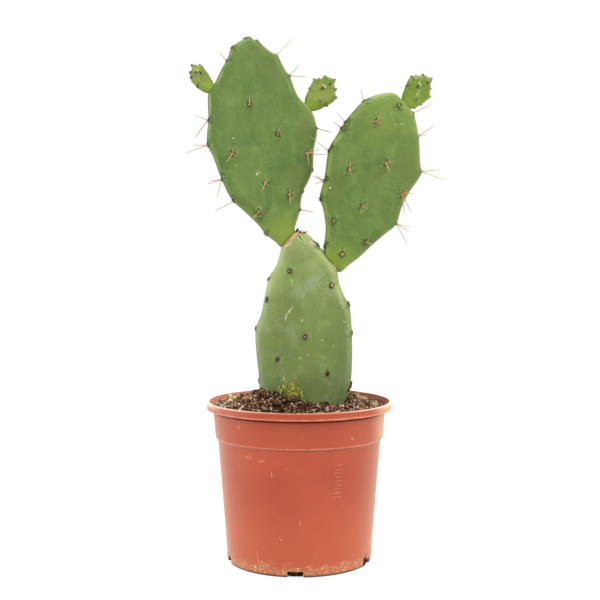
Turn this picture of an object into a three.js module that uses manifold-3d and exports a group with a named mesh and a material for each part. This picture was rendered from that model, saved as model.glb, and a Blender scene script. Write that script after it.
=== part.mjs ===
// A potted paddle cactus: a tapered nursery pot filled with potting soil, an upright lower paddle
// rooted in it, two large upper paddles grown from its top edge, and three young paddles grown from
// those. Millimetres, +Z up, origin at the centre of the pot's foot, front of the plant facing -Y.
//
// Each paddle has a frame of its own: x across its face, z along its length, and -y towards the side
// that is its front. Its outline is a list of corners in that frame, which are where areoles pull
// the edge out, and its body is a lens between two faces over that outline.

import * as THREE from "three";
import { mergeVertices } from "three/addons/utils/BufferGeometryUtils.js";
import Module from "manifold-3d";

const wasm = await Module();
wasm.setup();

const FIT_GAP = 0.3; // left between pieces that touch

const POT = {
  sides: 72,
  height: 147,
  wall: 1.2,
  floor: 1.6,
  footRadius: 66,
  bodyTopRadius: 74.9,
  collarZ: 113, // the wall steps out here to the wider collar
  collarFootRadius: 77,
  collarTopRadius: 79.4,
  collarTopZ: 142.2, // the wall flares from here out to the rim
  rimRadius: 85,
  rimTopWidth: 2.4, // the flat top of the rim, with its outer corner
  rimDepth: 7, // how far the rolled rim hangs down
  rimWall: 1.5,
};
const NOTCH = { count: 5, width: 14, height: 5.5, depth: 14, firstTurn: -3 };

const SOIL = { sides: 48, level: 142, clearance: 0.35, rings: [1, 0.86, 0.7, 0.52, 0.34, 0.16] };
// Low mounds of soil against the plant: [x, y, height, spread].
const SOIL_MOUNDS = [
  [-36, 2, 13, 20],
  [-6, 44, 6, 24],
  [56, 34, 5, 18],
  [6, -12, 2.5, 26],
];

// Rings of a paddle's faces, from its edge (0) to its middle (1).
const RINGS = [0.015, 0.05, 0.12, 0.26, 0.48, 0.76];
const YOUNG_RINGS = [0.09, 0.3, 0.62];

// An areole that is listed this near the edge sits on the edge.
const EDGE_REACH = 3.2;

const AREOLE = { radius: 1.9, height: 1.3, root: 1.8, sides: 6 };
const SPINE = { radius: 0.55, root: 2.2, sides: 3 };

// Areoles that show are listed as [x, z, ...spines], and a spine as [dx, dz, rise] from root to tip,
// where rise is how far it stands out towards the front. Those on the back follow a rule.
const LOWER = {
  name: "paddle_lower",
  color: 0x83995c,
  place: { position: [3, 14, 140], lean: 0, roll: 0, yaw: -6 },
  centre: [2, 58],
  thickness: [33, 19],
  length: 163,
  edgeRound: 17,
  bow: 0,
  outline: [
    [-8.5, 162], [-1, 163.5], [4, 161], [15, 149], [22.5, 140], [33, 127.5], [34.5, 114.5],
    [39, 102.5], [43.5, 94], [46, 72], [46.5, 45], [45.5, 19.5], [42.5, -2], [32, -30], [12, -46],
    [-10, -46], [-28, -30], [-39, -2], [-41, 26], [-43.5, 50], [-44, 72], [-39, 85], [-36, 99],
    [-32, 120], [-26, 131], [-21.5, 145], [-20, 152],
  ],
  areoles: [
    [-10.7, 126], [27.8, 112.8], [-32.4, 99.2], [3.8, 65.5], [-21.7, 44.3], [24.7, 32.1],
    [46, 67], [-41, 26], [46, 19.5], [43.5, 95], [-44, 73], [-32, 120], [14, 150],
  ],
  back: { pitch: 27, from: 24, to: 140, spines: 0, seed: 5 },
};

const LEFT = {
  name: "paddle_left",
  color: 0x708f4a,
  place: { position: [-11.5, 14, 296], lean: 4, roll: -11, yaw: 14 },
  centre: [-3, 100],
  thickness: [15, 18],
  length: 190,
  edgeRound: 9,
  bow: 3,
  outline: [
    [3, 190.5], [10.5, 184.5], [20, 173.5], [26.5, 168], [31, 154], [34, 147], [37, 130], [40, 123.5],
    [47, 113.5], [48.5, 93], [42, 76], [37, 58], [32, 49.5], [23, 38], [17, 22], [9, 7], [8.5, 2.5],
    [0.5, -2.5], [-7, -6.5], [-12, -1], [-20, 7], [-25, 16], [-34, 30], [-44, 45], [-50, 67], [-53, 86],
    [-56, 99], [-52.5, 113], [-50, 121], [-44.5, 145], [-38, 151.5], [-27, 165.5], [-21, 172],
    [-14, 183], [-5, 188],
  ],
  areoles: [
    [-11.4, 126.5, [0.1, 6.6, 7]],
    [9.2, 95.3, [2.7, 6.9, 7]],
    [-36.3, 85.2, [-10.1, -8.8, 7], [-5, 0, 7]],
    [-11.6, 53.7, [-6.8, -8.9, 7], [3, 3, 8]],
    [32.9, 72.9, [-2, -12.5, 6], [14, 1.5, 6], [18, -4.5, 3]],
    [8.7, 38.7, [5.7, 2.8, 7], [-2.6, -11.5, 6]],
    [-23.8, 28.6, [-9.9, -7.4, 7], [2.7, 1.4, 7]],
    [-21, 172, [-5.5, 10, 2]],
    [26.5, 168, [20, 14, 0]],
    [34, 147, [14, 10, -3], [16, -4, 4]],
    [49, 93.5, [15, -7, 0]],
    [37.5, 57], [23, 38],
    [17, 22, [12.5, -5.5, 3]],
    [-20, 7],
    [-44, 45, [-19.5, -6, 0]],
    [-50, 67, [-11.5, 0.5, 4], [-15, -1.5, -2], [-9, -17, 2]],
    [-56, 99, [-13.5, 2.5, -2], [-23.5, -4, 2]],
    [-50, 121, [-12.5, 6.5, 2], [-17, -15, -1]],
    [-14, 183], [0.5, 190], [5, 189], [11, 184],
  ],
  back: { pitch: 30, from: 30, to: 175, spines: 2, seed: 11 },
};

const RIGHT = {
  name: "paddle_right",
  color: 0x7a9a48,
  place: { position: [30.5, 14, 273.5], lean: -4, roll: 20, yaw: 16 },
  centre: [4, 86],
  thickness: [14, 18],
  length: 166,
  edgeRound: 9,
  bow: -3,
  outline: [
    [-2, 166.5], [7.5, 163.5], [16, 159.5], [24.5, 157], [34.5, 141.5], [40.5, 131], [48, 116],
    [52.5, 109], [47.5, 86], [46, 72], [46.5, 54], [40, 43.5], [30.5, 27.5], [24, 15], [16, 3],
    [10, -6], [1, -4], [-8, 1.5], [-13, 13], [-17.5, 28.5], [-26, 43.5], [-32.5, 52], [-35, 70.5],
    [-40.5, 98], [-38.5, 110], [-35, 127], [-32, 136], [-25, 151], [-13, 161.5],
  ],
  areoles: [
    [3.2, 156.1],
    [-10.6, 135.3, [-1, 7.4, 7], [1.6, -1.3, 8]],
    [12.7, 103.1, [1.3, 5.9, 8], [4.7, -8.4, 7]],
    [-18.2, 85.3, [-4.9, 7.4, 7]],
    [5.5, 58.5, [2, 3.5, 8], [4.5, -2, 8]],
    [22.1, 28.9, [4.2, -0.2, 8]],
    [38.6, 82.6, [4.1, 5.4, 6], [10.5, 4.7, 3], [7.2, -18.7, 7], [13, -13.1, 5]],
    [-35.4, 118.5, [-10.7, 1.9, 5]],
    [3.9, 10.4], [-14.7, 36.3],
    [-25, 151, [-7.5, 9, 2]],
    [-35, 127, [-12, 5.5, 0]],
    [-40.5, 98, [-25, 5, 9]],
    [-35, 70.5, [-13, -0.5, 3], [-8.5, -7, 3], [-8.5, 2, -4]],
    [-32.5, 52], [-13, 13],
    [24.5, 157, [13.5, 14, 0]],
    [36, 138, [13, 16.5, -2], [10, 5.5, -5]],
    [52.5, 109, [17.5, 8.5, 0], [27, 1.5, -3]],
    [46.5, 54, [14, 1, 2], [17.5, -3, -2], [17.5, -15.5, 3]],
  ],
  back: { pitch: 29, from: 34, to: 150, spines: 2, seed: 23 },
};

const YOUNG = {
  color: 0x86a040,
  thickness: [7, 9],
  edgeRound: 5.5,
  bow: 0,
  tubercle: { height: 1.1, spread: 2.6 },
  leaf: { radius: 1.1, height: 1.3, root: 1.4, sides: 4 }, // the small cone leaf on each tubercle
};
const YOUNG_LEFT = {
  ...YOUNG,
  name: "young_paddle_left",
  place: { position: [-42.5, 0, 147.5], lean: 0, roll: -31, yaw: 24 },
  centre: [-1, 13],
  length: 27,
  outline: [
    [2, -3], [-3, -3], [-5.5, 0], [-8, 4.5], [-9.5, 9.5], [-10, 14.5], [-9, 19.5], [-6, 23], [-2, 24.5],
    [1, 27], [4, 24], [8, 22.5], [8, 17], [7, 11], [6, 5], [4, 0],
  ],
  areoles: [
    [1, 27], [8, 22.5], [-6, 23], [-9, 19.5], [-9.5, 9.5], [7, 11], [-2, 17], [-5.6, 19],
  ],
  back: { pitch: 7, from: 5, to: 23, spines: 0, seed: 3 },
};
const YOUNG_MIDDLE = {
  ...YOUNG,
  name: "young_paddle_middle",
  place: { position: [44.5, 0, 117], lean: 0, roll: 53, yaw: -14 },
  centre: [1, 19],
  length: 37,
  outline: [
    [3, -3], [-3, -3], [-4, 1], [-7, 6], [-8.5, 11], [-10, 16], [-11.5, 21], [-12, 25.5], [-8.5, 30],
    [-7, 36], [-2, 37], [3, 37.5], [5.5, 33], [9, 30.5], [10, 27.5], [13.5, 24], [13.5, 18.5],
    [11.5, 12.5], [9, 5.5], [5, 0],
  ],
  areoles: [
    [13.5, 24], [9, 30.5], [3, 37.5], [-7, 36], [-8.5, 30], [-12, 25.5], [-10, 16], [11.5, 12.5],
    [0.3, 22.1], [6.6, 11.5], [3.5, 29.9], [-7.4, 26.6],
  ],
  back: { pitch: 8, from: 6, to: 32, spines: 0, seed: 7 },
};
const YOUNG_RIGHT = {
  ...YOUNG,
  name: "young_paddle_right",
  place: { position: [13.5, 0, 161], lean: 0, roll: 20, yaw: 12 },
  centre: [1, 18],
  length: 35,
  outline: [
    [3, -3], [-3, -3], [-5.5, 1.5], [-8, 7], [-10, 14], [-11.5, 18], [-12, 23], [-8, 29], [-6, 33.5],
    [-1, 34.5], [4, 36], [6, 31.5], [9.5, 28.5], [10.5, 26], [14.5, 23], [14, 18], [12, 11], [9.5, 5],
    [5, -0.5],
  ],
  areoles: [
    [14.5, 23], [9.5, 28.5], [4, 36], [-6, 33.5], [-12, 23], [-10, 14], [12, 11], [-4.4, 19.9],
    [3.2, 10.8], [0.2, 28.8], [-8.8, 25],
  ],
  back: { pitch: 8, from: 5, to: 30, spines: 0, seed: 9 },
};

const radians = THREE.MathUtils.degToRad;

// The manifold-3d solid of a closed geometry.
function solidOf(geometry) {
  const bare = new THREE.BufferGeometry()
    .setAttribute("position", geometry.getAttribute("position"))
    .setIndex(geometry.index);
  const merged = mergeVertices(bare, 1e-4);
  const index = merged.index.array;
  const triVerts = [];
  for (let i = 0; i < index.length; i += 3) {
    const [a, b, c] = index.slice(i, i + 3);
    // The faces at a pole have two corners in one place.
    if (a !== b && b !== c && c !== a) triVerts.push(a, b, c);
  }
  return new wasm.Manifold(
    new wasm.Mesh({
      numProp: 3,
      vertProperties: merged.getAttribute("position").array,
      triVerts: new Uint32Array(triVerts),
    }),
  );
}

function geometryOf(solid) {
  const { vertProperties, triVerts } = solid.getMesh();
  const geometry = new THREE.BufferGeometry()
    .setAttribute("position", new THREE.BufferAttribute(vertProperties, 3))
    .setIndex(new THREE.BufferAttribute(triVerts, 1));
  geometry.computeVertexNormals();
  return geometry;
}

function meshOf(name, solid, color, roughness) {
  const material = new THREE.MeshStandardMaterial({ color, roughness, metalness: 0 });
  const mesh = new THREE.Mesh(geometryOf(solid), material);
  mesh.name = name;
  return mesh;
}

// Three's lathe turns round y, so the profile's heights are laid along +Z afterwards.
function lathe(profile, sides) {
  const points = profile.map(([r, z]) => new THREE.Vector2(r, z));
  return new THREE.LatheGeometry(points, sides).rotateX(radians(90));
}

const COLLAR_INNER_FOOT = [POT.collarFootRadius - POT.wall, POT.collarZ + 1.6];
const COLLAR_INNER_TOP = [POT.collarTopRadius - POT.wall, POT.collarTopZ + 1];
const BODY_INNER_TOP = [POT.bodyTopRadius - POT.wall, POT.collarZ - 1];
const BODY_INNER_FOOT = [POT.footRadius - POT.wall, POT.floor];

function makePot() {
  const underRim = POT.height - POT.rimWall;
  const rimFoot = POT.height - POT.rimDepth;
  const rimInner = POT.rimRadius - POT.rimWall;
  const profile = [
    [0, 0],
    [POT.footRadius - 1, 0],
    [POT.footRadius, 1],
    [POT.bodyTopRadius, POT.collarZ - 0.4],
    [POT.collarFootRadius, POT.collarZ + 0.8],
    [POT.collarTopRadius, POT.collarTopZ],
    [rimInner, underRim],
    [rimInner, rimFoot + 0.6],
    [POT.rimRadius - 0.6, rimFoot],
    [POT.rimRadius, rimFoot + 0.8],
    [POT.rimRadius, POT.height - 1.2],
    [POT.rimRadius - 1.2, POT.height],
    [POT.rimRadius - POT.rimTopWidth, POT.height],
    COLLAR_INNER_TOP,
    COLLAR_INNER_FOOT,
    BODY_INNER_TOP,
    BODY_INNER_FOOT,
    [0, POT.floor],
  ];
  let pot = solidOf(lathe(profile, POT.sides));
  for (let i = 0; i < NOTCH.count; i++) {
    const turn = radians(NOTCH.firstTurn + (360 / NOTCH.count) * i);
    // The box is twice the notch's height, and half of it lies below the foot.
    const box = new THREE.BoxGeometry(NOTCH.width, NOTCH.depth + 10, NOTCH.height * 2)
      .translate(0, -(POT.footRadius - NOTCH.depth / 2 + 5), 0)
      .rotateZ(turn);
    pot = pot.subtract(solidOf(box));
  }
  return pot;
}

// The height of the soil's surface, before the plant stands in it.
function soilHeight(x, y) {
  const mounds = SOIL_MOUNDS.reduce(
    (sum, [mx, my, height, spread]) =>
      sum + height * Math.exp(-((x - mx) ** 2 + (y - my) ** 2) / (2 * spread ** 2)),
    0,
  );
  const lumps = Math.sin(x * 0.31 + 1) * Math.cos(y * 0.27) + 0.7 * Math.sin(x * 0.13 - y * 0.19);
  return SOIL.level + mounds + lumps;
}

// The soil's sides run inside the pot's wall, and its top is a net of rings round the pot's axis.
function makeSoil() {
  const slope = (COLLAR_INNER_TOP[0] - COLLAR_INNER_FOOT[0]) / (COLLAR_INNER_TOP[1] - COLLAR_INNER_FOOT[1]);
  const edgeRadius = COLLAR_INNER_FOOT[0] + slope * (SOIL.level - COLLAR_INNER_FOOT[1]) - SOIL.clearance;
  const foot = POT.floor + FIT_GAP;
  const rows = [[BODY_INNER_FOOT[0], foot], BODY_INNER_TOP, COLLAR_INNER_FOOT].map(
    ([r, z]) => (x, y) => [x * (r - SOIL.clearance), y * (r - SOIL.clearance), z],
  );
  for (const share of SOIL.rings) {
    const r = edgeRadius * share;
    rows.push((x, y) => [x * r, y * r, share === 1 ? SOIL.level : soilHeight(x * r, y * r)]);
  }
  const positions = [0, 0, foot, 0, 0, soilHeight(0, 0)];
  const [bottom, top, firstRow] = [0, 1, 2];
  for (const row of rows) {
    for (let i = 0; i < SOIL.sides; i++) {
      const turn = (i / SOIL.sides) * 2 * Math.PI;
      positions.push(...row(Math.cos(turn), Math.sin(turn)));
    }
  }
  const index = [];
  for (let i = 0; i < SOIL.sides; i++) {
    const next = (i + 1) % SOIL.sides;
    let low = firstRow;
    index.push(bottom, low + next, low + i);
    for (let j = 1; j < rows.length; j++) {
      const high = low + SOIL.sides;
      index.push(low + i, low + next, high + next, low + i, high + next, high + i);
      low = high;
    }
    index.push(low + i, low + next, top);
  }
  return solidOf(indexed(positions, index));
}

function indexed(positions, index) {
  return new THREE.BufferGeometry()
    .setAttribute("position", new THREE.Float32BufferAttribute(positions, 3))
    .setIndex(index);
}

// What a paddle's body is worked out from: its traced edge, the nearest point of that edge, and the
// heights of its middle and its faces over a point (x, z) of its own plane. grow makes it larger all
// round, for cutting its neighbours.
function paddleForm(spec, grow = 0) {
  const corners = spec.outline.map(([x, z]) => new THREE.Vector3(x, 0, z));
  const curve = new THREE.CatmullRomCurve3(corners, true, "centripetal");
  // A point at each corner and one halfway to the next.
  const traced = curve.getPoints(corners.length * 2).slice(0, -1);
  const edge = traced.map((point, i) => {
    const before = traced.at(i - 1);
    const after = traced[(i + 1) % traced.length];
    // The outline runs clockwise as seen from the front, so its outward side is on the left.
    const out = new THREE.Vector3(before.z - after.z, 0, after.x - before.x).normalize();
    return { x: point.x + out.x * grow, z: point.z + out.z * grow, out };
  });

  function nearestEdge(x, z) {
    let nearest = { distance: Infinity };
    edge.forEach((a, i) => {
      const b = edge[(i + 1) % edge.length];
      const [sx, sz] = [b.x - a.x, b.z - a.z];
      const along = ((x - a.x) * sx + (z - a.z) * sz) / (sx * sx + sz * sz);
      const share = Math.min(Math.max(along, 0), 1);
      const point = { x: a.x + share * sx, z: a.z + share * sz };
      const distance = Math.hypot(x - point.x, z - point.z);
      if (distance < nearest.distance) {
        nearest = { ...point, distance, out: a.out.clone().lerp(b.out, share).normalize() };
      }
    });
    return nearest;
  }

  const middle = (x, z) => spec.bow * ((z / spec.length) ** 2 - (x / 50) ** 2);

  function half(x, z, bumps = []) {
    const [footThickness, topThickness] = spec.thickness;
    const share = Math.min(Math.max(z / spec.length, 0), 1);
    const full = (footThickness + (topThickness - footThickness) * share) / 2 + grow;
    const inset = 1 - Math.min(nearestEdge(x, z).distance / (spec.edgeRound + grow), 1);
    const lens = full * Math.sqrt(1 - inset * inset);
    if (!spec.tubercle) return lens;
    const { height, spread } = spec.tubercle;
    return bumps.reduce(
      (sum, [bx, bz]) => sum + height * Math.exp(-((x - bx) ** 2 + (z - bz) ** 2) / (2 * spread ** 2)),
      lens,
    );
  }
  return { edge, nearestEdge, half, middle };
}

// The body as a closed grid: an edge of spokes, rings on both faces, and a middle point on each.
function paddleBody(spec, form, rings, frontBumps, backBumps) {
  const [cx, cz] = spec.centre;
  const spokes = form.edge.length;
  const positions = [];
  for (const { x, z } of form.edge) positions.push(x, form.middle(x, z), z);
  for (const [side, bumps] of [[-1, frontBumps], [1, backBumps]]) {
    for (const inset of rings) {
      for (const point of form.edge) {
        const x = point.x + (cx - point.x) * inset;
        const z = point.z + (cz - point.z) * inset;
        positions.push(x, form.middle(x, z) + side * form.half(x, z, bumps), z);
      }
    }
    positions.push(cx, form.middle(cx, cz) + side * form.half(cx, cz, bumps), cz);
  }
  const index = [];
  const faceSize = rings.length * spokes + 1;
  for (const side of [0, 1]) {
    const start = spokes + side * faceSize;
    const face = (a, b, c) => (side === 0 ? index.push(a, c, b) : index.push(a, b, c));
    for (let i = 0; i < spokes; i++) {
      const next = (i + 1) % spokes;
      let outer = 0;
      for (let j = 0; j < rings.length; j++) {
        const inner = start + j * spokes;
        face(outer + i, outer + next, inner + next);
        face(outer + i, inner + next, inner + i);
        outer = inner;
      }
      face(outer + i, outer + next, start + faceSize - 1);
    }
  }
  return solidOf(indexed(positions, index));
}

// A cone or a dome that stands along its own y is turned to lie along a direction at a point.
function standAt(geometry, point, direction) {
  const turn = new THREE.Quaternion().setFromUnitVectors(
    new THREE.Vector3(0, 1, 0),
    direction.clone().normalize(),
  );
  return geometry.applyQuaternion(turn).translate(point.x, point.y, point.z);
}

function cone({ radius, root, sides }, length) {
  return new THREE.ConeGeometry(radius, length + root, sides).translate(0, (length - root) / 2, 0);
}

// A linear congruential draw, which gives the same numbers each run.
function seeded(seed) {
  let state = seed;
  return () => {
    state = (Math.imul(state, 1664525) + 1013904223) >>> 0;
    return state / 2 ** 32;
  };
}

// Areoles on the back stand in rows, each shifted by half a step from the one below.
function backAreoles({ back, outline }, form) {
  const draw = seeded(back.seed);
  const reach = Math.max(...outline.map(([x]) => Math.abs(x)));
  const steps = Math.ceil(reach / back.pitch);
  const found = [];
  let shift = 0;
  for (let z = back.from; z <= back.to; z += back.pitch * 0.8) {
    for (let i = -steps; i <= steps; i++) {
      const at = [i * back.pitch + shift + (draw() - 0.5) * 4, z + (draw() - 0.5) * 4];
      const spines = [];
      for (let j = 0; j < back.spines; j++) {
        spines.push([(draw() - 0.5) * 14, (draw() - 0.6) * 14, 7 + draw() * 6]);
      }
      const clear = form.nearestEdge(...at).distance > back.pitch * 0.3;
      if (clear && isInside(at, form)) found.push([...at, ...spines]);
    }
    shift = back.pitch / 2 - shift;
  }
  return found;
}

function isInside([x, z], { edge }) {
  let inside = false;
  edge.forEach((a, i) => {
    const b = edge[(i + 1) % edge.length];
    if (a.z > z !== b.z > z && x < a.x + ((b.x - a.x) * (z - a.z)) / (b.z - a.z)) inside = !inside;
  });
  return inside;
}

// Where an areole sits and which way it faces.
function seatOf(x, z, form, side) {
  const nearest = form.nearestEdge(x, z);
  if (nearest.distance < EDGE_REACH) {
    const point = new THREE.Vector3(nearest.x, form.middle(nearest.x, nearest.z), nearest.z);
    return { point, out: nearest.out };
  }
  const height = (px, pz) => form.middle(px, pz) + side * form.half(px, pz);
  const step = 0.5;
  const slopeX = (height(x + step, z) - height(x - step, z)) / (2 * step);
  const slopeZ = (height(x, z + step) - height(x, z - step)) / (2 * step);
  const out = new THREE.Vector3(-slopeX, 1, -slopeZ).multiplyScalar(side).normalize();
  return { point: new THREE.Vector3(x, height(x, z), z), out };
}

// A paddle with its areoles and spines, joined into one solid in the paddle's own frame.
function makePaddle(spec, rings) {
  const form = paddleForm(spec);
  const back = backAreoles(spec, form);
  const knob = spec.leaf ?? AREOLE;
  let paddle = paddleBody(spec, form, rings, spec.areoles, back);
  for (const [side, areoles] of [[-1, spec.areoles], [1, back]]) {
    for (const [x, z, ...spines] of areoles) {
      const { point, out } = seatOf(x, z, form, side);
      const onBump = form.nearestEdge(x, z).distance < EDGE_REACH ? 0 : (spec.tubercle?.height ?? 0);
      const seat = point.clone().addScaledVector(out, onBump);
      paddle = paddle.add(solidOf(standAt(cone(knob, knob.height), seat, out)));
      for (const [dx, dz, rise] of spines) {
        const along = new THREE.Vector3(dx, side * rise, dz);
        paddle = paddle.add(solidOf(standAt(cone(SPINE, along.length()), point, along)));
      }
    }
  }
  return paddle;
}

// A group turned as a paddle leans (back), rolls (to the right) and yaws, in degrees.
function frameOf({ position, lean, roll, yaw }, order) {
  const group = new THREE.Group();
  group.position.set(...position);
  group.rotation.set(radians(-lean), radians(roll), radians(yaw), order);
  return group;
}

// A neighbour's body, grown by the gap, as it lies in the frame of the piece that it cuts.
function cutterFor(frame, neighbour, neighbourFrame, rings) {
  frame.updateWorldMatrix(true, false);
  neighbourFrame.updateWorldMatrix(true, false);
  const between = frame.matrixWorld.clone().invert().multiply(neighbourFrame.matrixWorld);
  const body = paddleBody(neighbour, paddleForm(neighbour, FIT_GAP), rings, [], []);
  return body.transform(between.elements);
}

const plant = new THREE.Group();
plant.add(meshOf("pot", makePot(), 0xbb5841, 0.42));

const lowerFrame = frameOf(LOWER.place, "ZXY");
lowerFrame.add(meshOf(LOWER.name, makePaddle(LOWER, RINGS), LOWER.color, 0.55));
plant.add(lowerFrame);

const soilFrame = new THREE.Group();
const soil = makeSoil().subtract(cutterFor(soilFrame, LOWER, lowerFrame, RINGS));
soilFrame.add(meshOf("soil", soil, 0x3b2a1e, 0.95));
plant.add(soilFrame);

for (const [upper, young] of [[LEFT, [YOUNG_LEFT, YOUNG_MIDDLE]], [RIGHT, [YOUNG_RIGHT]]]) {
  const upperFrame = frameOf(upper.place, "ZXY");
  plant.add(upperFrame);
  const cutByLower = makePaddle(upper, RINGS).subtract(cutterFor(upperFrame, LOWER, lowerFrame, RINGS));
  upperFrame.add(meshOf(upper.name, cutByLower, upper.color, 0.5));
  for (const bud of young) {
    const budFrame = frameOf(bud.place, "YZX");
    upperFrame.add(budFrame);
    const cutByUpper = makePaddle(bud, YOUNG_RINGS).subtract(cutterFor(budFrame, upper, upperFrame, RINGS));
    budFrame.add(meshOf(bud.name, cutByUpper, bud.color, 0.45));
  }
}

export default plant;
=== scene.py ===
import math

import bmesh
import bpy
import numpy as np
from mathutils import Matrix, Vector, noise


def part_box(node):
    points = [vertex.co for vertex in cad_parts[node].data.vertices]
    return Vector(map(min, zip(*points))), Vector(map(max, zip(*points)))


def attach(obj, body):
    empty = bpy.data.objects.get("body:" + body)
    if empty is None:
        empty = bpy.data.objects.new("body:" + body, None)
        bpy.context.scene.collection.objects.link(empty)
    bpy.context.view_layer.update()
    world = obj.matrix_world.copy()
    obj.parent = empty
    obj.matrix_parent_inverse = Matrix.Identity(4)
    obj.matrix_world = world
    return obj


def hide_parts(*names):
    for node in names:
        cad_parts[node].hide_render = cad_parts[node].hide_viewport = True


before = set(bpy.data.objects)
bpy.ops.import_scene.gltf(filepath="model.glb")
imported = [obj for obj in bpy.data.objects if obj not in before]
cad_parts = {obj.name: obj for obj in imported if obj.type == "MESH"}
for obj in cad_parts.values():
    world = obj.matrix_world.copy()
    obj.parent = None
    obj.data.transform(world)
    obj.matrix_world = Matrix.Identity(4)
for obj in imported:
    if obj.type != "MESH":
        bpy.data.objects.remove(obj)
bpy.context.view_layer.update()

# The pot: a thin nursery pot, injection-moulded in one piece from terracotta-coloured plastic. The
# wall tapers down to the foot and steps out to a collar under the rolled rim, and drain notches are
# cut through its bottom corner. It is scuffed, and hard water has left a pale crust at its foot.
MM = 0.001
POT_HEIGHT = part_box("pot")[1].z / MM
RIM_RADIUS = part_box("pot")[1].x / MM
FOOT_RADIUS = 66
BODY_TOP_RADIUS = 74.9
COLLAR_Z = 113
COLLAR_FOOT_RADIUS = 77
WALL = 1.2
POT_FLOOR = 1.6
RIM_DEPTH = 7


def mesh_of(name, points, faces, finish=None):
    """A smooth mesh from points in mm, with its material where it has just one."""
    mesh = bpy.data.meshes.new(name)
    mesh.from_pydata((np.asarray(points, float) * MM).tolist(), [], [list(face) for face in faces])
    mesh.shade_smooth()
    if finish:
        mesh.materials.append(finish)
    return mesh


def mark(mesh, name, values):
    """Keeps a number or a vector for each point of a mesh."""
    values = np.asarray(values, np.float32)
    if values.ndim == 1:
        mesh.attributes.new(name, "FLOAT", "POINT").data.foreach_set("value", values)
    else:
        mesh.attributes.new(name, "FLOAT_VECTOR", "POINT").data.foreach_set("vector", values.ravel())


def linked(name, data):
    """A new object in the scene."""
    made = bpy.data.objects.new(name, data)
    bpy.context.scene.collection.objects.link(made)
    return made


def settled(name, draft):
    """A mesh from a draft, which is freed."""
    mesh = bpy.data.meshes.new(name)
    draft.to_mesh(mesh)
    draft.free()
    return mesh


def finished(holder):
    """What an object's modifiers make of its mesh, as a plain mesh. The object itself goes."""
    bpy.context.view_layer.update()
    made = holder.evaluated_get(bpy.context.evaluated_depsgraph_get())
    plain = bpy.data.meshes.new_from_object(made)
    bpy.data.objects.remove(holder)
    return plain


def piece(name, mesh, slot, *nodes):
    """Adds a finished mesh to the plant and hides the nodes it stands for. Its slot is not used."""
    made = linked(name, mesh)
    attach(made, "root")
    if nodes:
        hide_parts(*nodes)


class Wire:
    """An output in a node tree. Sums and products of wires add the Math nodes that make them."""

    def __init__(self, tree, socket=None):
        self.tree = tree
        self.socket = socket

    def node(self, kind, settings=None, inputs=None, output=0):
        """Adds a node: its settings go first, then the values or links of its sockets."""
        made = self.tree.nodes.new(kind)
        for name, value in (settings or {}).items():
            if name == "stops":
                ramp = made.color_ramp.elements
                while len(ramp) < len(value):
                    ramp.new(0.5)
                for stop, (position, *colour) in zip(ramp, value):
                    stop.position = position
                    stop.color = paint(*colour)
            else:
                setattr(made, name, value)
        for name, value in (inputs or {}).items():
            if isinstance(value, Wire):
                self.tree.links.new(value.socket, made.inputs[name])
            else:
                made.inputs[name].default_value = value
        return Wire(self.tree, made.outputs[output])

    def math(self, operation, *values):
        return self.node("ShaderNodeMath", {"operation": operation}, dict(enumerate(values)))

    def __add__(self, other):
        return self.math("ADD", self, other)

    __radd__ = __add__

    def __sub__(self, other):
        return self.math("SUBTRACT", self, other)

    def __rsub__(self, other):
        return self.math("SUBTRACT", other, self)

    def __mul__(self, other):
        return self.math("MULTIPLY", self, other)

    __rmul__ = __mul__

    def rise(self, low, high):
        """0 up to low, 1 from high on, and smooth between them."""
        settings = {"interpolation_type": "SMOOTHSTEP"}
        return self.node("ShaderNodeMapRange", settings, {0: self, 1: low, 2: high})

    def tint(self, colour, share):
        """This colour, with a share of another one in it."""
        return self.node("ShaderNodeMix", {"data_type": "RGBA"}, {0: share, 6: self, 7: colour}, 2)

    def coated(self, *coats):
        """This colour under several coats, each with its colour and its share, the lowest first."""
        colour = self
        for coat, share in coats:
            colour = colour.tint(coat, share)
        return colour

    def plain(self, colour):
        """One colour all over."""
        made = self.node("ShaderNodeRGB")
        made.socket.default_value = colour
        return made

    def place(self):
        """Where each point of the surface lies on the object, in metres."""
        return self.node("ShaderNodeTexCoord", output="Object")

    def axis(self, letter):
        """One coordinate of this place."""
        return self.node("ShaderNodeSeparateXYZ", None, {0: self}, letter)

    def ramp(self, *stops):
        """A colour for each value between 0 and 1, by stops (position, red, green, blue)."""
        return self.node("ShaderNodeValToRGB", {"stops": stops}, {0: self})

    def noise(self, place, scale, detail=2.0, roughness=0.5):
        inputs = {"Vector": place, "Scale": scale, "Detail": detail, "Roughness": roughness}
        return self.node("ShaderNodeTexNoise", None, inputs)

    def trait(self, name):
        """A number that the mesh keeps at each point."""
        return self.node("ShaderNodeAttribute", {"attribute_name": name}, None, "Fac")


def paint(red, green, blue):
    """A colour as read off a screen, 0 to 255, in the linear numbers of a shader."""
    return (*((c / 255) ** 2.2 for c in (red, green, blue)), 1.0)


def material_of(name, **constants):
    """A new material, a wire into its tree, and its shader with the sockets that stay constant."""
    material = bpy.data.materials.new(name)
    material.use_nodes = True
    shader = material.node_tree.nodes["Principled BSDF"]
    for socket, value in constants.items():
        shader.inputs[socket.replace("_", " ")].default_value = value
    return material, Wire(material.node_tree), shader


def feed(shader, **wires):
    """Links what changes over the surface into the shader."""
    for socket, wire in wires.items():
        wire.tree.links.new(wire.socket, shader.inputs[socket.replace("_", " ")])


def bump(height, strength, depth):
    return height.node("ShaderNodeBump", None, {"Strength": strength, "Distance": depth, "Height": height})


def sheet_faces(rows, columns, start=0):
    """The faces of a sheet whose points lie in rows."""
    corners = [start + row * columns + column for row in range(rows - 1) for column in range(columns - 1)]
    return [(a, a + 1, a + columns + 1, a + columns) for a in corners]


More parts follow.
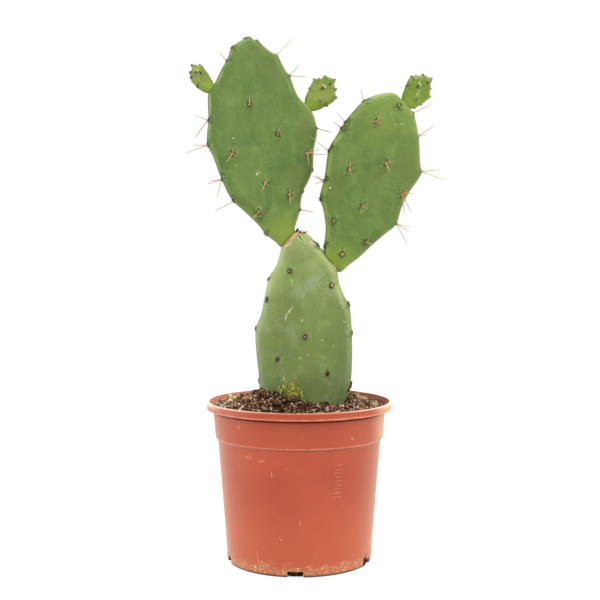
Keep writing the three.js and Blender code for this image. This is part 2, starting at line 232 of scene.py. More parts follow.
def rounded(corners):
    """The points of a profile (r, z) whose corners (r, z, radius) are rounded."""
    made = []
    for i, (r, z, radius) in enumerate(corners):
        if not radius:
            made.append((r, z))
            continue
        here = Vector((r, z))
        before = Vector(corners[i - 1][:2]) - here
        after = Vector(corners[i + 1][:2]) - here
        reach = min(radius, before.length * 0.48, after.length * 0.48)
        start = here + before.normalized() * reach
        end = here + after.normalized() * reach
        for share in np.linspace(0, 1, 6):
            point = start.lerp(here, share).lerp(here.lerp(end, share), share)
            made.append(tuple(point))
    return made


def turned(profile, turns):
    """A profile from axis to axis, turned round Z, as points and faces."""
    angles = np.arange(turns) * 2 * math.pi / turns
    ring = np.stack([np.cos(angles), np.sin(angles)], 1)
    points = [(0, 0, profile[0][1])]
    for r, z in profile[1:-1]:
        points.extend((x * r, y * r, z) for x, y in ring)
    points.append((0, 0, profile[-1][1]))
    rows = len(profile) - 2
    last = len(points) - 1
    faces = []
    for i in range(turns):
        after = (i + 1) % turns
        faces.append((0, 1 + after, 1 + i))
        for j in range(rows - 1):
            low = 1 + j * turns
            faces.append((low + i, low + after, low + turns + after, low + turns + i))
        top = 1 + (rows - 1) * turns
        faces.append((top + i, top + after, last))
    return points, faces


COLLAR_TOP = (79.4, 142.2)
RIM_TOP_WIDTH = 2.4
skirt_foot = POT_HEIGHT - RIM_DEPTH
SHADE_Z = skirt_foot - 2.2
# The corner between the collar and the rim's skirt, from one radius to the other.
CORNER_RADII = (78.3, 82)
pot_profile = rounded([
    (0, 0.8, 0), (FOOT_RADIUS - 9, 0.8, 0.5), (FOOT_RADIUS - 8, 0, 0.5), (FOOT_RADIUS, 0, 1.6),
    (BODY_TOP_RADIUS, COLLAR_Z - 0.4, 1.2), (COLLAR_FOOT_RADIUS, COLLAR_Z + 0.8, 1.4),
    (79.05, SHADE_Z, 0), (*COLLAR_TOP, 1), (RIM_RADIUS - 1.6, POT_HEIGHT - 1.7, 0.8),
    (RIM_RADIUS - 1.6, skirt_foot, 0.6), (RIM_RADIUS, skirt_foot, 0.7),
    (RIM_RADIUS, skirt_foot + 1.5, 0.5), (RIM_RADIUS - 0.5, skirt_foot + 2.3, 0.6),
    (RIM_RADIUS - 0.3, POT_HEIGHT, 1.6), (RIM_RADIUS - RIM_TOP_WIDTH, POT_HEIGHT, 0.7),
    (COLLAR_TOP[0] - WALL, COLLAR_TOP[1] + 1, 2),
    (COLLAR_FOOT_RADIUS - WALL, COLLAR_Z + 1.6, 1.5), (BODY_TOP_RADIUS - WALL, COLLAR_Z - 1, 1.5),
    (FOOT_RADIUS - WALL, POT_FLOOR, 1.5), (0, POT_FLOOR, 0),
])
pot_mesh = mesh_of("pot_shell", *turned(pot_profile, 240))

NOTCHES = 5
NOTCH_WIDTH = 14
NOTCH_HEIGHT = 5.5
NOTCH_DEPTH = 14
FIRST_NOTCH = -3
cutters = bmesh.new()
for i in range(NOTCHES):
    size = Matrix.Diagonal((NOTCH_WIDTH * MM, (NOTCH_DEPTH + 10) * MM, NOTCH_HEIGHT * 2 * MM, 1))
    seat = Matrix.Translation((0, -(FOOT_RADIUS - NOTCH_DEPTH / 2 + 5) * MM, 0))
    turn = Matrix.Rotation(math.radians(FIRST_NOTCH + 360 / NOTCHES * i), 4, "Z")
    block = bmesh.ops.create_cube(cutters, size=1, matrix=turn @ seat @ size)["verts"]
    upper = [e for e in {e for v in block for e in v.link_edges} if min(v.co.z for v in e.verts) > 0]
    bmesh.ops.bevel(cutters, geom=upper, offset=0.7 * MM, segments=3, affect="EDGES", profile=0.5)
cutter = linked("notch_cutters", settled("notch_cutters", cutters))
pot_blank = linked("pot_blank", pot_mesh)
cut = pot_blank.modifiers.new("notches", "BOOLEAN")
cut.operation = "DIFFERENCE"
cut.solver = "EXACT"
cut.object = cutter
pot_mesh = finished(pot_blank)
bpy.data.objects.remove(cutter)
pot_mesh.shade_smooth()
pot_mesh.set_sharp_from_angle(angle=math.radians(40))

# Scuffs on the wall, as (along the wall from its front, height, along, height, width).
SCUFFS = [
    (-43.4, 21.5, -42.8, 15, 0.5), (-42.8, 15, -41.2, 8.5, 0.7), (-50.5, 105.6, -50.1, 104.8, 1.0),
    (-46.5, 104.6, -45.4, 104, 0.9), (-36.4, 102.5, -32.8, 102.7, 0.8), (-55.8, 132, -55.2, 130.4, 0.9),
    (47.4, 122.2, 47.8, 121.2, 1.0), (-24.9, 93.6, -24.6, 89.6, 0.7), (-11.5, 97.4, -11.2, 95.8, 0.5),
    (0.6, 52, 0.9, 47, 0.5), (-19, 36, -17, 33, 0.5), (96, 88, 104, 80, 0.6), (-150, 70, -140, 74, 0.6),
    (168, 40, 172, 33, 0.6),
]
plastic, pot_wire, plastic_shader = material_of(
    "terracotta_plastic", Specular_IOR_Level=0.5, Sheen_Weight=0.35, Sheen_Roughness=0.4,
    Sheen_Tint=(0.96, 0.9, 0.55, 1.0))
pot_place = pot_wire.place()
pot_x, pot_y, pot_z = (pot_place.axis(letter) * (1 / MM) for letter in "XYZ")
pot_radius = pot_wire.math("SQRT", pot_x * pot_x + pot_y * pot_y)
across = pot_wire.math("ABSOLUTE", pot_x)
along = pot_wire.math("ARCTAN2", pot_x, 0 - pot_y) * BODY_TOP_RADIUS
broad = pot_wire.noise(pot_place, 18, 3)
grime = pot_wire.noise(pot_place, 120, 6, 0.62)
grit = pot_wire.noise(pot_place, 640, 5, 0.7)
scuffed = None
for start, low, end, high, width in SCUFFS:
    run, climb = end - start, high - low
    off, up = along - start, pot_z - low
    share = (off * run + up * climb) * (1 / (run ** 2 + climb ** 2))
    share = share.node("ShaderNodeClamp", None, {0: share})
    gap = pot_wire.math("SQRT", pot_wire.math("POWER", off - share * run, 2) +
                        pot_wire.math("POWER", up - share * climb, 2))
    stroke = 1 - (gap + (grit - 0.5) * 0.9).rise(width * 0.25, width)
    scuffed = stroke if scuffed is None else scuffed.math("MAXIMUM", scuffed, stroke)
crust_height = (grime - 0.5) * 22 + 9
crust = (1 - (pot_z - crust_height).rise(-4, 4)) * (0.35 + grit.rise(0.42, 0.58) * 0.65)
crust = crust * pot_z.rise(0.8, 3)
# Painted shade: the foot darker towards its bottom edge, where it meets the floor.
foot_shade = 1 - (pot_z - grime * 1.8).rise(0.2, 1.8)
# Painted shade: a dark band on the collar just under the rim's skirt, where the skirt shades it.
under_rim_shade = pot_radius.rise(CORNER_RADII[0], CORNER_RADII[0] + 0.4)
under_rim_shade = under_rim_shade * (1 - pot_radius.rise(CORNER_RADII[1] - 1, CORNER_RADII[1]))
under_rim_shade = under_rim_shade * pot_z.rise(SHADE_Z - 2.2, SHADE_Z + 0.3)
under_rim_shade = under_rim_shade * (1 - pot_z.rise(COLLAR_TOP[1] - 0.2, COLLAR_TOP[1] + 0.4))
# Painted shade: a thin dark line under the step out to the collar.
step_shade = pot_z.rise(COLLAR_Z - 1, COLLAR_Z - 0.2) * (1 - pot_z.rise(COLLAR_Z + 0.4, COLLAR_Z + 1))
step_shade = step_shade * (1 - pot_radius.rise(COLLAR_FOOT_RADIUS + 0.2, COLLAR_FOOT_RADIUS + 0.6))
# A pale line along the step's upper edge, partly wear and partly painted highlight.
step_wear_highlight = pot_z.rise(COLLAR_Z + 0.9, COLLAR_Z + 1.3) * 0.35
step_wear_highlight = step_wear_highlight * (1 - pot_z.rise(COLLAR_Z + 1.9, COLLAR_Z + 2.6))
# Painted highlight along the rim's top, stronger towards its ends.
rim_top_highlight = pot_z.rise(POT_HEIGHT - 1.1, POT_HEIGHT - 0.3) * (0.55 + across.rise(62, 80) * 0.35)
# Painted highlight on the bead at the skirt's lower edge.
skirt_highlight = pot_radius.rise(RIM_RADIUS - 0.2, RIM_RADIUS - 0.02) * 0.4
skirt_highlight = skirt_highlight * (1 - pot_z.rise(skirt_foot + 1.6, skirt_foot + 2.2))
# Paler marks, partly wear and partly painted highlight: tick bars, step edge, rim top, skirt edge.
worn = pot_wire.trait("worn") + step_wear_highlight + rim_top_highlight + skirt_highlight
on_rim = pot_radius.rise(RIM_RADIUS - 2.7, RIM_RADIUS - 2.3)
# Painted highlight: the rim's ends washed pale where light glances off them.
rim_end_glare = across.rise(66, 82) * pot_z.rise(POT_HEIGHT - 6, POT_HEIGHT - 1) * on_rim
# Painted highlight: a cream line along the rim's top edge, paler away from its front middle.
rim_highlight_line = across.rise(15, 70) * pot_z.rise(POT_HEIGHT - 1.2, POT_HEIGHT - 0.3) * on_rim
# Painted shade on the pot's floor, under it and inside it.
inner = 1 - (pot_radius - pot_z * 0.08).rise(58, 66)
wall_colour = pot_wire.plain(paint(157, 57, 21)).coated(
    (paint(167, 67, 29), broad.rise(0.42, 0.68) * 0.7),
    (paint(181, 83, 44), (1 - pot_z.rise(10, 90)) * 0.6),
    (paint(205, 117, 78), grime.rise(0.58, 0.82) * 0.2),
    (paint(228, 160, 132), scuffed * grit.rise(0.36, 0.52) * 0.6),
    (paint(176, 128, 84), crust * 0.62),
    (paint(230, 200, 164), crust * grit.rise(0.54, 0.64) * 0.85),
    (paint(96, 54, 30), crust * (1 - grit.rise(0.34, 0.44)) * 0.7),
    # painted shade at the foot
    (paint(48, 28, 18), foot_shade * 0.9),
    # painted shade under the rim's skirt
    (paint(110, 30, 12), under_rim_shade * 0.7),
    # painted shade under the step
    (paint(122, 44, 26), step_shade * 0.7),
    # painted light: the right side of the collar paler
    (paint(206, 156, 108), pot_x.rise(62, 76) * pot_z.rise(COLLAR_Z + 1, COLLAR_Z + 5) * 0.5),
    # partly wear, partly painted highlight
    (paint(226, 158, 126), worn * (0.5 + grime.rise(0.4, 0.6) * 0.5)),
    # painted highlight at the rim's ends
    (paint(208, 184, 180), rim_end_glare * (0.5 + grime.rise(0.4, 0.6) * 0.3)),
    # painted highlight line on the rim's top
    (paint(232, 212, 186), rim_highlight_line * 0.6),
    # painted shade on the pot's floor
    (paint(26, 15, 10), inner * 0.92),
)
gloss = 0.4 + (broad - 0.5) * 0.12 + crust * 0.4 + scuffed * 0.15
feed(plastic_shader, Base_Color=wall_colour, Roughness=gloss,
     Normal=bump(broad * 0.4 + grit * 0.22 + crust * grit * 1.4, 0.3, 0.0004))
# A matte dark plastic without gloss, as painted shade under the rim's skirt and at the foot's bottom edge.
painted_shade, _, painted_shade_shader = material_of("painted_shade_plastic", Specular_IOR_Level=0.0, Roughness=1.0)
painted_shade_shader.inputs["Base Color"].default_value = paint(104, 26, 12)
# The inner wall's own plastic, with painted shade: darker towards the pot's right, paler on its left.
inside, inside_wire, inside_shader = material_of("inside_plastic", Specular_IOR_Level=0.1, Roughness=0.85)
inside_place = inside_wire.place()
inside_shading = (inside_wire.noise(inside_place, 140, 5, 0.65) - 0.5) * 0.9
inside_shading = inside_place.axis("X").rise(-0.06, 0.04) + inside_shading
feed(inside_shader, Base_Color=inside_shading.ramp((0, 184, 122, 102), (0.9, 130, 78, 66)))
pot_mesh.materials.clear()
for finish in (plastic, painted_shade, inside):
    pot_mesh.materials.append(finish)
# Faces in the corner under the skirt and round the foot's bottom edge take the painted shade plastic.
for face in pot_mesh.polygons:
    radius, z = math.hypot(*face.center[:2]) / MM, face.center.z / MM
    in_corner = SHADE_Z < z < COLLAR_TOP[1] + 0.5 and CORNER_RADII[0] < radius < CORNER_RADII[1]
    under_foot = z < 0.7 and radius > FOOT_RADIUS - 3
    faces_in = z > COLLAR_Z + 7 and face.normal.xy.dot(face.center.xy.normalized()) < -0.3
    face.material_index = 2 if faces_in else 1 if in_corner or under_foot else 0
piece("pot_shell", pot_mesh, "pot_plastic", "pot")

# The plain tick lines: a short ladder of low raised bars, of the pot's own plastic and moulded in
# one with its wall, on the right of its front. They fade into the wall at both ends.
TICKS = 9
TICK_TURN = 26.8
TICK_LOW = 71
TICK_STEP = 3.5
TICK_LENGTH = 11.5
# Across a bar, from its upper edge over its back to its lower edge, as (height, how proud it stands).
TICK_SECTION = [(0.6, -0.3), (0.55, 0.1), (0.35, 0.4), (0, 0.48), (-0.35, 0.4), (-0.55, 0.1), (-0.6, -0.3)]
tick_points, tick_faces = [], []
for i in range(TICKS):
    length = TICK_LENGTH * (1 if i % 4 == 0 else 0.72)
    middle = TICK_LOW + TICK_STEP * i
    start = len(tick_points)
    stations = np.linspace(-length / 2, length / 2, 13)
    for offset in stations:
        ends = 1 - abs(2 * offset / length) ** 6 * 0.9
        for rise, proud in TICK_SECTION:
            z = middle + rise * ends
            radius = np.interp(z, [1, COLLAR_Z], [FOOT_RADIUS, BODY_TOP_RADIUS]) + proud * ends
            turn = math.radians(TICK_TURN) + offset / BODY_TOP_RADIUS
            tick_points.append((radius * math.sin(turn), -radius * math.cos(turn), z))
    tick_faces.extend(sheet_faces(len(stations), len(TICK_SECTION), start))
tick_mesh = mesh_of("pot_ticks", tick_points, tick_faces, plastic)
# The bars are paler all over, partly as wear and partly as painted highlight.
mark(tick_mesh, "worn", np.full(len(tick_points), 0.2))
piece("pot_ticks", tick_mesh, "pot_plastic")

# The potting soil: dark peat and bark with pale crumbs, filled loosely to a little under the rim and
# mounded against the plant. Its bed is one lumpy body, and clods, crumbs and fibres lie on it.
SOIL_LEVEL = 142
SOIL_RADIUS = 77.6
# Mounds and one hollow in the soil, as (x, y, height, spread).
SOIL_MOUNDS = [
    (-35, 2, 11.6, 20), (-6, 44, 6, 22), (48, 20, 7.2, 9), (63, 22, 3.6, 7), (6, -12, 2.5, 26),
    (56, 52, -2, 14),
]


def soil_height(x, y):
    """How high the soil lies at a place: its level, its mounds and its small waves."""
    mounds = sum(
        height * math.exp(-((x - mx) ** 2 + (y - my) ** 2) / (2 * spread ** 2))
        for mx, my, height, spread in SOIL_MOUNDS
    )
    lumps = math.sin(x * 0.31 + 1) * math.cos(y * 0.27) + 0.7 * math.sin(x * 0.13 - y * 0.19)
    return SOIL_LEVEL + mounds + lumps


# The bed's flank, just inside the wall, as (radius, height).
BED_FLANK = [(64.4, 1.9), (73.3, 112), (75.4, 114.6), (SOIL_RADIUS, SOIL_LEVEL - 2)]
bed_profile = [(0, BED_FLANK[0][1]), *BED_FLANK]
bed_profile += [(r, SOIL_LEVEL) for r in np.linspace(SOIL_RADIUS, 1, 64)] + [(0, SOIL_LEVEL)]
bed_points, bed_faces = turned(bed_profile, 220)
for i, (x, y, z) in enumerate(bed_points):
    if z < SOIL_LEVEL:
        continue
    rough = noise.fractal(Vector((x, y, 3)) * 0.16, 0.9, 2.1, 5) * 2.2
    crumb = noise.noise(Vector((x, y, 9)) * 0.55) * 0.9
    bed_points[i] = (x, y, soil_height(x, y) + rough + crumb - 0.6)
bed_mesh = mesh_of("soil_bed", bed_points, bed_faces)

SOIL_TONES = [
    (0, 12, 7, 4), (0.3, 56, 36, 22), (0.5, 118, 88, 64), (0.72, 172, 142, 116), (0.95, 234, 216, 194),
]
peat, peat_wire, peat_shader = material_of("peat", Specular_IOR_Level=0.08)
peat_place = peat_wire.place()
peat_grain = peat_wire.noise(peat_place, 900, 5, 0.7)
peat_patch = peat_wire.noise(peat_place, 210, 3)
peat_x = peat_place.axis("X")
drier = peat_x.rise(0.03, 0.055) * 0.12 + (1 - peat_x.rise(-0.08, -0.018)) * 0.27
peat_tone = peat_wire.math("POWER", peat_wire.trait("tone"), 1.5) * 0.64 + drier
peat_tone = peat_tone + peat_grain * 0.55 + peat_patch * 0.8 - 0.47
feed(peat_shader, Base_Color=peat_tone.ramp(*SOIL_TONES), Roughness=0.82 + peat_grain * 0.16,
     Normal=bump(peat_grain, 0.7, 0.0006))
mark(bed_mesh, "tone", np.full(len(bed_points), 0.1))
bed_mesh.materials.append(peat)
piece("soil_bed", bed_mesh, "potting_soil", "soil")


def new_tree(name, **inputs):
    """A geometry tree with a mesh, and the named inputs that follow, going in and a mesh coming out."""
    tree = bpy.data.node_groups.new(name, "GeometryNodeTree")
    tree.interface.new_socket("Mesh", in_out="INPUT", socket_type="NodeSocketGeometry")
    for socket, kind in inputs.items():
        tree.interface.new_socket(socket, in_out="INPUT", socket_type="NodeSocket" + kind)
    tree.interface.new_socket("Mesh", in_out="OUTPUT", socket_type="NodeSocketGeometry")
    given = tree.nodes.new("NodeGroupInput")
    return tree, {socket: Wire(tree, given.outputs[socket]) for socket in ("Mesh", *inputs)}


def kept(given, kind, name):
    """What the mesh that goes into a tree keeps under a name at each point."""
    return given["Mesh"].node("GeometryNodeInputNamedAttribute", {"data_type": kind}, {"Name": name})


def chance(wire, low, high, seed):
    """A random number for each point or copy."""
    return wire.node("FunctionNodeRandomValue", {"data_type": "FLOAT"}, {2: low, 3: high, 8: seed}, 1)


def tumble(wire, low, high, seed):
    """A random turn for each point or copy, each of its angles between low and high."""
    inputs = {0: low, 1: high, 8: seed}
    angles = wire.node("FunctionNodeRandomValue", {"data_type": "FLOAT_VECTOR"}, inputs, 0)
    return wire.node("FunctionNodeEulerToRotation", None, {0: angles})


def end_tree(copies, finish):
    """Turns the copies into a mesh with its finish, as the tree's result."""
    real = copies.node("GeometryNodeRealizeInstances", None, {0: copies})
    dressed = real.node("GeometryNodeSetMaterial", None, {"Geometry": real, "Material": finish})
    out = copies.tree.nodes.new("NodeGroupOutput")
    copies.tree.links.new(dressed.socket, out.inputs[0])


def grown(name, mesh, tree, **values):
    """What a tree makes of a mesh, as a plain mesh."""
    holder = linked(name, mesh)
    modifier = holder.modifiers.new(name, "NODES")
    modifier.node_group = tree
    for item in tree.interface.items_tree:
        if item.in_out == "INPUT" and item.name in values:
            modifier[item.identifier] = values[item.name]
    plain = finished(holder)
    plain.name = name
    return plain


# Lays copies from a heap over a mesh: small ones far more often than large ones, turned any way.
scatter, given = new_tree(
    "Scatter", Heap="Collection", Kinds="Int", Density="Float", Smallest="Float", Largest="Float",
    Palest="Float", Lift="Float", Seed="Int", Finish="Material",
)
inputs = {"Mesh": given["Mesh"], "Density": given["Density"] * kept(given, "FLOAT", "bare"),
          "Seed": given["Seed"]}
spots = given["Mesh"].node("GeometryNodeDistributePointsOnFaces", None, inputs)
size = spots.math("POWER", chance(spots, 0, 1, given["Seed"] + 1), 2.6)
size = given["Smallest"] + size * (given["Largest"] - given["Smallest"])
lift = spots.node("ShaderNodeCombineXYZ", None, {"Z": size * given["Lift"]})
spots = spots.node("GeometryNodeSetPosition", None, {"Geometry": spots, "Offset": lift})
kinds = given["Heap"].node(
    "GeometryNodeCollectionInfo", None,
    {"Collection": given["Heap"], "Separate Children": True, "Reset Children": True})
which = spots.node("FunctionNodeRandomValue", {"data_type": "INT"},
                   {4: 0, 5: given["Kinds"] - 1, 8: given["Seed"] + 2}, 2)
inputs = {"Points": spots, "Instance": kinds, "Pick Instance": True, "Instance Index": which,
          "Rotation": tumble(spots, (0, 0, 0), (6.28, 6.28, 6.28), given["Seed"] + 3), "Scale": size}
copies = spots.node("GeometryNodeInstanceOnPoints", None, inputs)
tone = chance(copies, 0, given["Palest"], given["Seed"] + 4)
copies = copies.node("GeometryNodeStoreNamedAttribute", {"data_type": "FLOAT", "domain": "INSTANCE"},
                     {"Geometry": copies, "Name": "tone", "Value": tone})
end_tree(copies, given["Finish"])


def heap_of(name, kinds, make):
    """A heap of a few different shapes, kept out of the scene, for copies to be taken from."""
    heap = bpy.data.collections.new(name)
    for i in range(kinds):
        heap.objects.link(bpy.data.objects.new(f"{name}_{i:02}", make(i)))
    return heap


def crumb_mesh(seed):
    """A small angular crumb, about 1 mm in radius: the hull of points thrown round its middle."""
    draw = np.random.default_rng(seed)
    around = draw.normal(size=(15, 3))
    around /= np.linalg.norm(around, axis=1)[:, None]
    around *= draw.uniform(0.75, 1.1, (15, 1)) * (1, 0.85, 0.7) * MM
    hull = bmesh.new()
    for point in around:
        hull.verts.new(point)
    shell = bmesh.ops.convex_hull(hull, input=hull.verts)
    bmesh.ops.delete(hull, geom=[g for g in shell["geom_interior"] if isinstance(g, bmesh.types.BMVert)],
                     context="VERTS")
    bmesh.ops.recalc_face_normals(hull, faces=hull.faces)
    return settled("crumb", hull)


def clod_mesh(seed):
    """A lump of stuck-together soil, about 1 mm in radius before it is scaled."""
    lump = bmesh.new()
    bmesh.ops.create_icosphere(lump, subdivisions=2, radius=1)
    for v in lump.verts:
        swell = 0.9 + 0.35 * noise.noise(v.co * 1.6 + Vector((seed * 7, 0, 0)))
        swell += 0.3 * noise.noise(v.co * 4.5 + Vector((0, seed * 5, 0)))
        v.co = Vector((v.co.x, v.co.y * 0.85, v.co.z * 0.7)) * swell * MM
    return settled("clod", lump)


def clump_mesh(places):
    """Clumps half sunk in the soil, from where each lies, how big it is and how pale."""
    clumps = bmesh.new()
    tones = []
    for x, y, size, tone in places:
        lump = bmesh.ops.create_icosphere(clumps, subdivisions=4, radius=1)
        for v in lump["verts"]:
            swell = 1 + 0.5 * noise.noise(v.co * 1.9 + Vector((x, y, 0)))
            swell += 0.28 * noise.noise(v.co * 5 + Vector((y, x, 0)))
            v.co = Vector((v.co.x * size, v.co.y * size * 0.9, v.co.z * size * 0.72)) * swell
            v.co = (v.co + Vector((x, y, soil_height(x, y) + size * 0.1))) * MM
            tones.append(tone)
    mesh = settled("clumps", clumps)
    mark(mesh, "tone", np.array(tones))
    mark(mesh, "bare", np.ones(len(tones)))
    return mesh


def fibre_mesh(seed):
    """A stiff fibre of bark or root, about 1 mm long before it is scaled."""
    draw = np.random.default_rng(seed + 40)
    bend = draw.uniform(-0.18, 0.18, 2)
    points = [(t - 0.5, bend[0] * math.sin(3 * t), bend[1] * math.sin(5 * t)) for t in np.linspace(0, 1, 6)]
    return mesh_of("fibre", *tube(points, [0.045, 0.06, 0.06, 0.055, 0.045, 0.02], 4))


def stained(name, stops, tone, **constants):
    """A material whose colour runs along a ramp, by what the function tone makes of a wire."""
    material, wire, shader = material_of(name, **constants)
    feed(shader, Base_Color=tone(wire).ramp(*stops))
    return material


def tube(points, radii, sides, closed=False, flat=1.0, facing=(0.31, 0.2, 0.93)):
    """A tube through points, as points and faces. flat squeezes its section the way that it faces."""
    path = np.asarray(points, float)
    count = len(path)
    ahead = np.roll(path, -1, 0) - np.roll(path, 1, 0)
    if not closed:
        ahead[0] = path[1] - path[0]
        ahead[-1] = path[-1] - path[-2]
    ahead /= np.linalg.norm(ahead, axis=1)[:, None]
    across = np.cross(ahead[0], facing)
    made = []
    for point, way, radius in zip(path, ahead, radii):
        across = across - way * across.dot(way)
        across /= np.linalg.norm(across)
        normal = np.cross(way, across)
        for k in range(sides):
            turn = 2 * math.pi * k / sides
            made.append(point + radius * (across * math.cos(turn) + normal * math.sin(turn) * flat))
    faces = []
    for j in range(count if closed else count - 1):
        low, high = j * sides, (j + 1) % count * sides
        for k in range(sides):
            after = (k + 1) % sides
            faces.append((low + k, low + after, high + after, high + k))
    if not closed:
        faces.append(tuple(range(sides))[::-1])
        faces.append(tuple((count - 1) * sides + k for k in range(sides)))
    return made, faces


CRUMB_KINDS = 8
CLOD_KINDS = 5
crumbs = heap_of("crumbs", CRUMB_KINDS, crumb_mesh)
top_rows = np.array([p[2] for p in bed_points]) > SOIL_LEVEL - 1.9
bare = np.where(top_rows & (np.hypot(*np.array(bed_points)[:, :2].T) < SOIL_RADIUS - 1), 1, 0)
mark(bed_mesh, "bare", bare)
for name, heap, count, values in (
    ("soil_crumbs", crumbs, CRUMB_KINDS,
     dict(Density=385000, Smallest=0.34, Largest=1.7, Palest=1.0, Lift=0.0003, Seed=3)),
    ("soil_clods", heap_of("clods", CLOD_KINDS, clod_mesh), CLOD_KINDS,
     dict(Density=5000, Smallest=1.3, Largest=3.0, Palest=0.85, Lift=0.0002, Seed=12)),
    ("soil_lumps", heap_of("lumps", CLOD_KINDS, clod_mesh), CLOD_KINDS,
     dict(Density=3600, Smallest=2.2, Largest=4.8, Palest=0.5, Lift=0.0, Seed=47)),
    ("soil_fibres", heap_of("fibres", CLOD_KINDS, fibre_mesh), CLOD_KINDS,
     dict(Density=11000, Smallest=2.5, Largest=9, Palest=1.0, Lift=0.0001, Seed=21)),
):
    laid = grown(name, bed_mesh, scatter, Heap=heap, Kinds=count, Finish=peat, **values)
    piece(name, laid, "potting_soil")

# Clumps that broke off the root ball lie about, with crumbs stuck all over them. Each is where it
# lies, how big it is and how pale.
CLUMPS = [
    (50.5, 15, 5.6, 0.65), (58.5, 12, 4.8, 0.8), (67, 13, 4, 0.35), (60, 1, 4, 0.5), (49, 3, 4.4, 0.35),
    (43, -19, 4.2, 0.35), (31, -31, 4.4, 0.5), (17, -36, 3.8, 0.3), (70, -3, 3.2, 0.7), (-34, -4, 4.6, 0.3),
    (-47, -15, 4.2, 0.5), (-22, -26, 4.2, 0.3), (-6, -38, 3.8, 0.5), (-63, -8, 3.4, 0.7),
    (-42, 12, 4.2, 0.35), (-34, -27, 4, 0.45), (-14, -20, 4.2, 0.25), (4, -27, 3.8, 0.35),
    (-52, 4, 3.8, 0.4), (24, -22, 3.6, 0.25),
]
clumps = clump_mesh(CLUMPS)
stuck = grown("soil_stuck", clumps, scatter, Heap=crumbs, Kinds=CRUMB_KINDS, Finish=peat,
              Density=260000, Smallest=0.3, Largest=1.5, Palest=1.0, Lift=0.0, Seed=58)
clumps.materials.append(peat)
piece("soil_clumps", clumps, "potting_soil")
piece("soil_stuck", stuck, "potting_soil")

# Soil that washed out through the drain notches clings round them. Each patch is its low and high
# turn round the pot, its radii and heights at foot and top, and how thickly it lies.
CLINGS = [
    (-8.8, 2.8, 60, 65.4, 1.1, 1.4, 2.4), (60.5, 65.5, 66.2, 66.7, 1.3, 8, 2.2),
    (64, 82, 66.3, 66.8, 6, 11, 1.3), (-80, -70, 66.2, 66.4, 5.4, 7, 0.8),
]
cling_points, cling_shares = [], []
for low, high, radius, top_radius, foot, top, share in CLINGS:
    corners = ((low, radius, foot), (high, radius, foot), (high, top_radius, top), (low, top_radius, top))
    for turn, r, z in corners:
        cling_points.append((r * math.sin(math.radians(turn)), -r * math.cos(math.radians(turn)), z))
        cling_shares.append(share)
cling_mesh = mesh_of("cling_bed", cling_points, [range(i, i + 4) for i in range(0, len(cling_points), 4)])
mark(cling_mesh, "bare", cling_shares)
damp = stained("damp_soil", [(0, 20, 12, 8), (0.7, 58, 42, 26), (1, 120, 74, 50)],
               lambda wire: wire.trait("tone"), Specular_IOR_Level=0.0, Roughness=1.0)
clinging = grown("washed_out_soil", cling_mesh, scatter, Heap=crumbs, Kinds=CRUMB_KINDS, Finish=damp,
                 Density=900000, Smallest=0.45, Largest=1.2, Palest=1.0, Lift=0.0, Seed=31)
piece("washed_out_soil", clinging, "potting_soil")

# The paddles: flat fleshy stem segments, each grown from the edge of the one below. A paddle's
# outline is pulled out where an areole sits on its edge, its faces swell gently from a rounded
# margin, and its skin is a tough waxy green. The lower paddle is the oldest, thick and greyish.
SPOKES_PER_CORNER = 8
PADDLE_RINGS = 58
RING_CROWDING = 1.9
EDGE_REACH = 3.2
LONG_RIPPLE = 34
SHORT_RIPPLE = 9
RIPPLE_WAVES = 7
BOW_WIDTH = 50


def traced(corners, steps):
    """A smooth closed line through an outline's corners."""
    p1 = np.asarray(corners, float)
    p0, p2, p3 = np.roll(p1, 1, 0), np.roll(p1, -1, 0), np.roll(p1, -2, 0)
    spans = ((p0, p1), (p1, p2), (p2, p3))
    d0, d1, d2 = (np.linalg.norm(b - a, axis=1)[:, None] ** 0.5 for a, b in spans)
    leave = ((p1 - p0) / d0 - (p2 - p0) / (d0 + d1) + (p2 - p1) / d1) * d1
    reach = ((p2 - p1) / d1 - (p3 - p1) / (d1 + d2) + (p3 - p2) / d2) * d1
    square = 3 * (p2 - p1) - 2 * leave - reach
    cube = 2 * (p1 - p2) + leave + reach
    rows = [p1 + leave * t + square * t ** 2 + cube * t ** 3 for t in np.arange(steps) / steps]
    return np.stack(rows, 1).reshape(-1, 2)


def placed(position, lean, roll, yaw, young=False):
    """A paddle leans back, rolls to the right and yaws, in degrees, about the foot that it stands on."""
    leant = Matrix.Rotation(-math.radians(lean), 4, "X")
    rolled = Matrix.Rotation(math.radians(roll), 4, "Y")
    yawed = Matrix.Rotation(math.radians(yaw), 4, "Z")
    turn = rolled @ yawed @ leant if young else yawed @ leant @ rolled
    return Matrix.Translation(position) @ turn


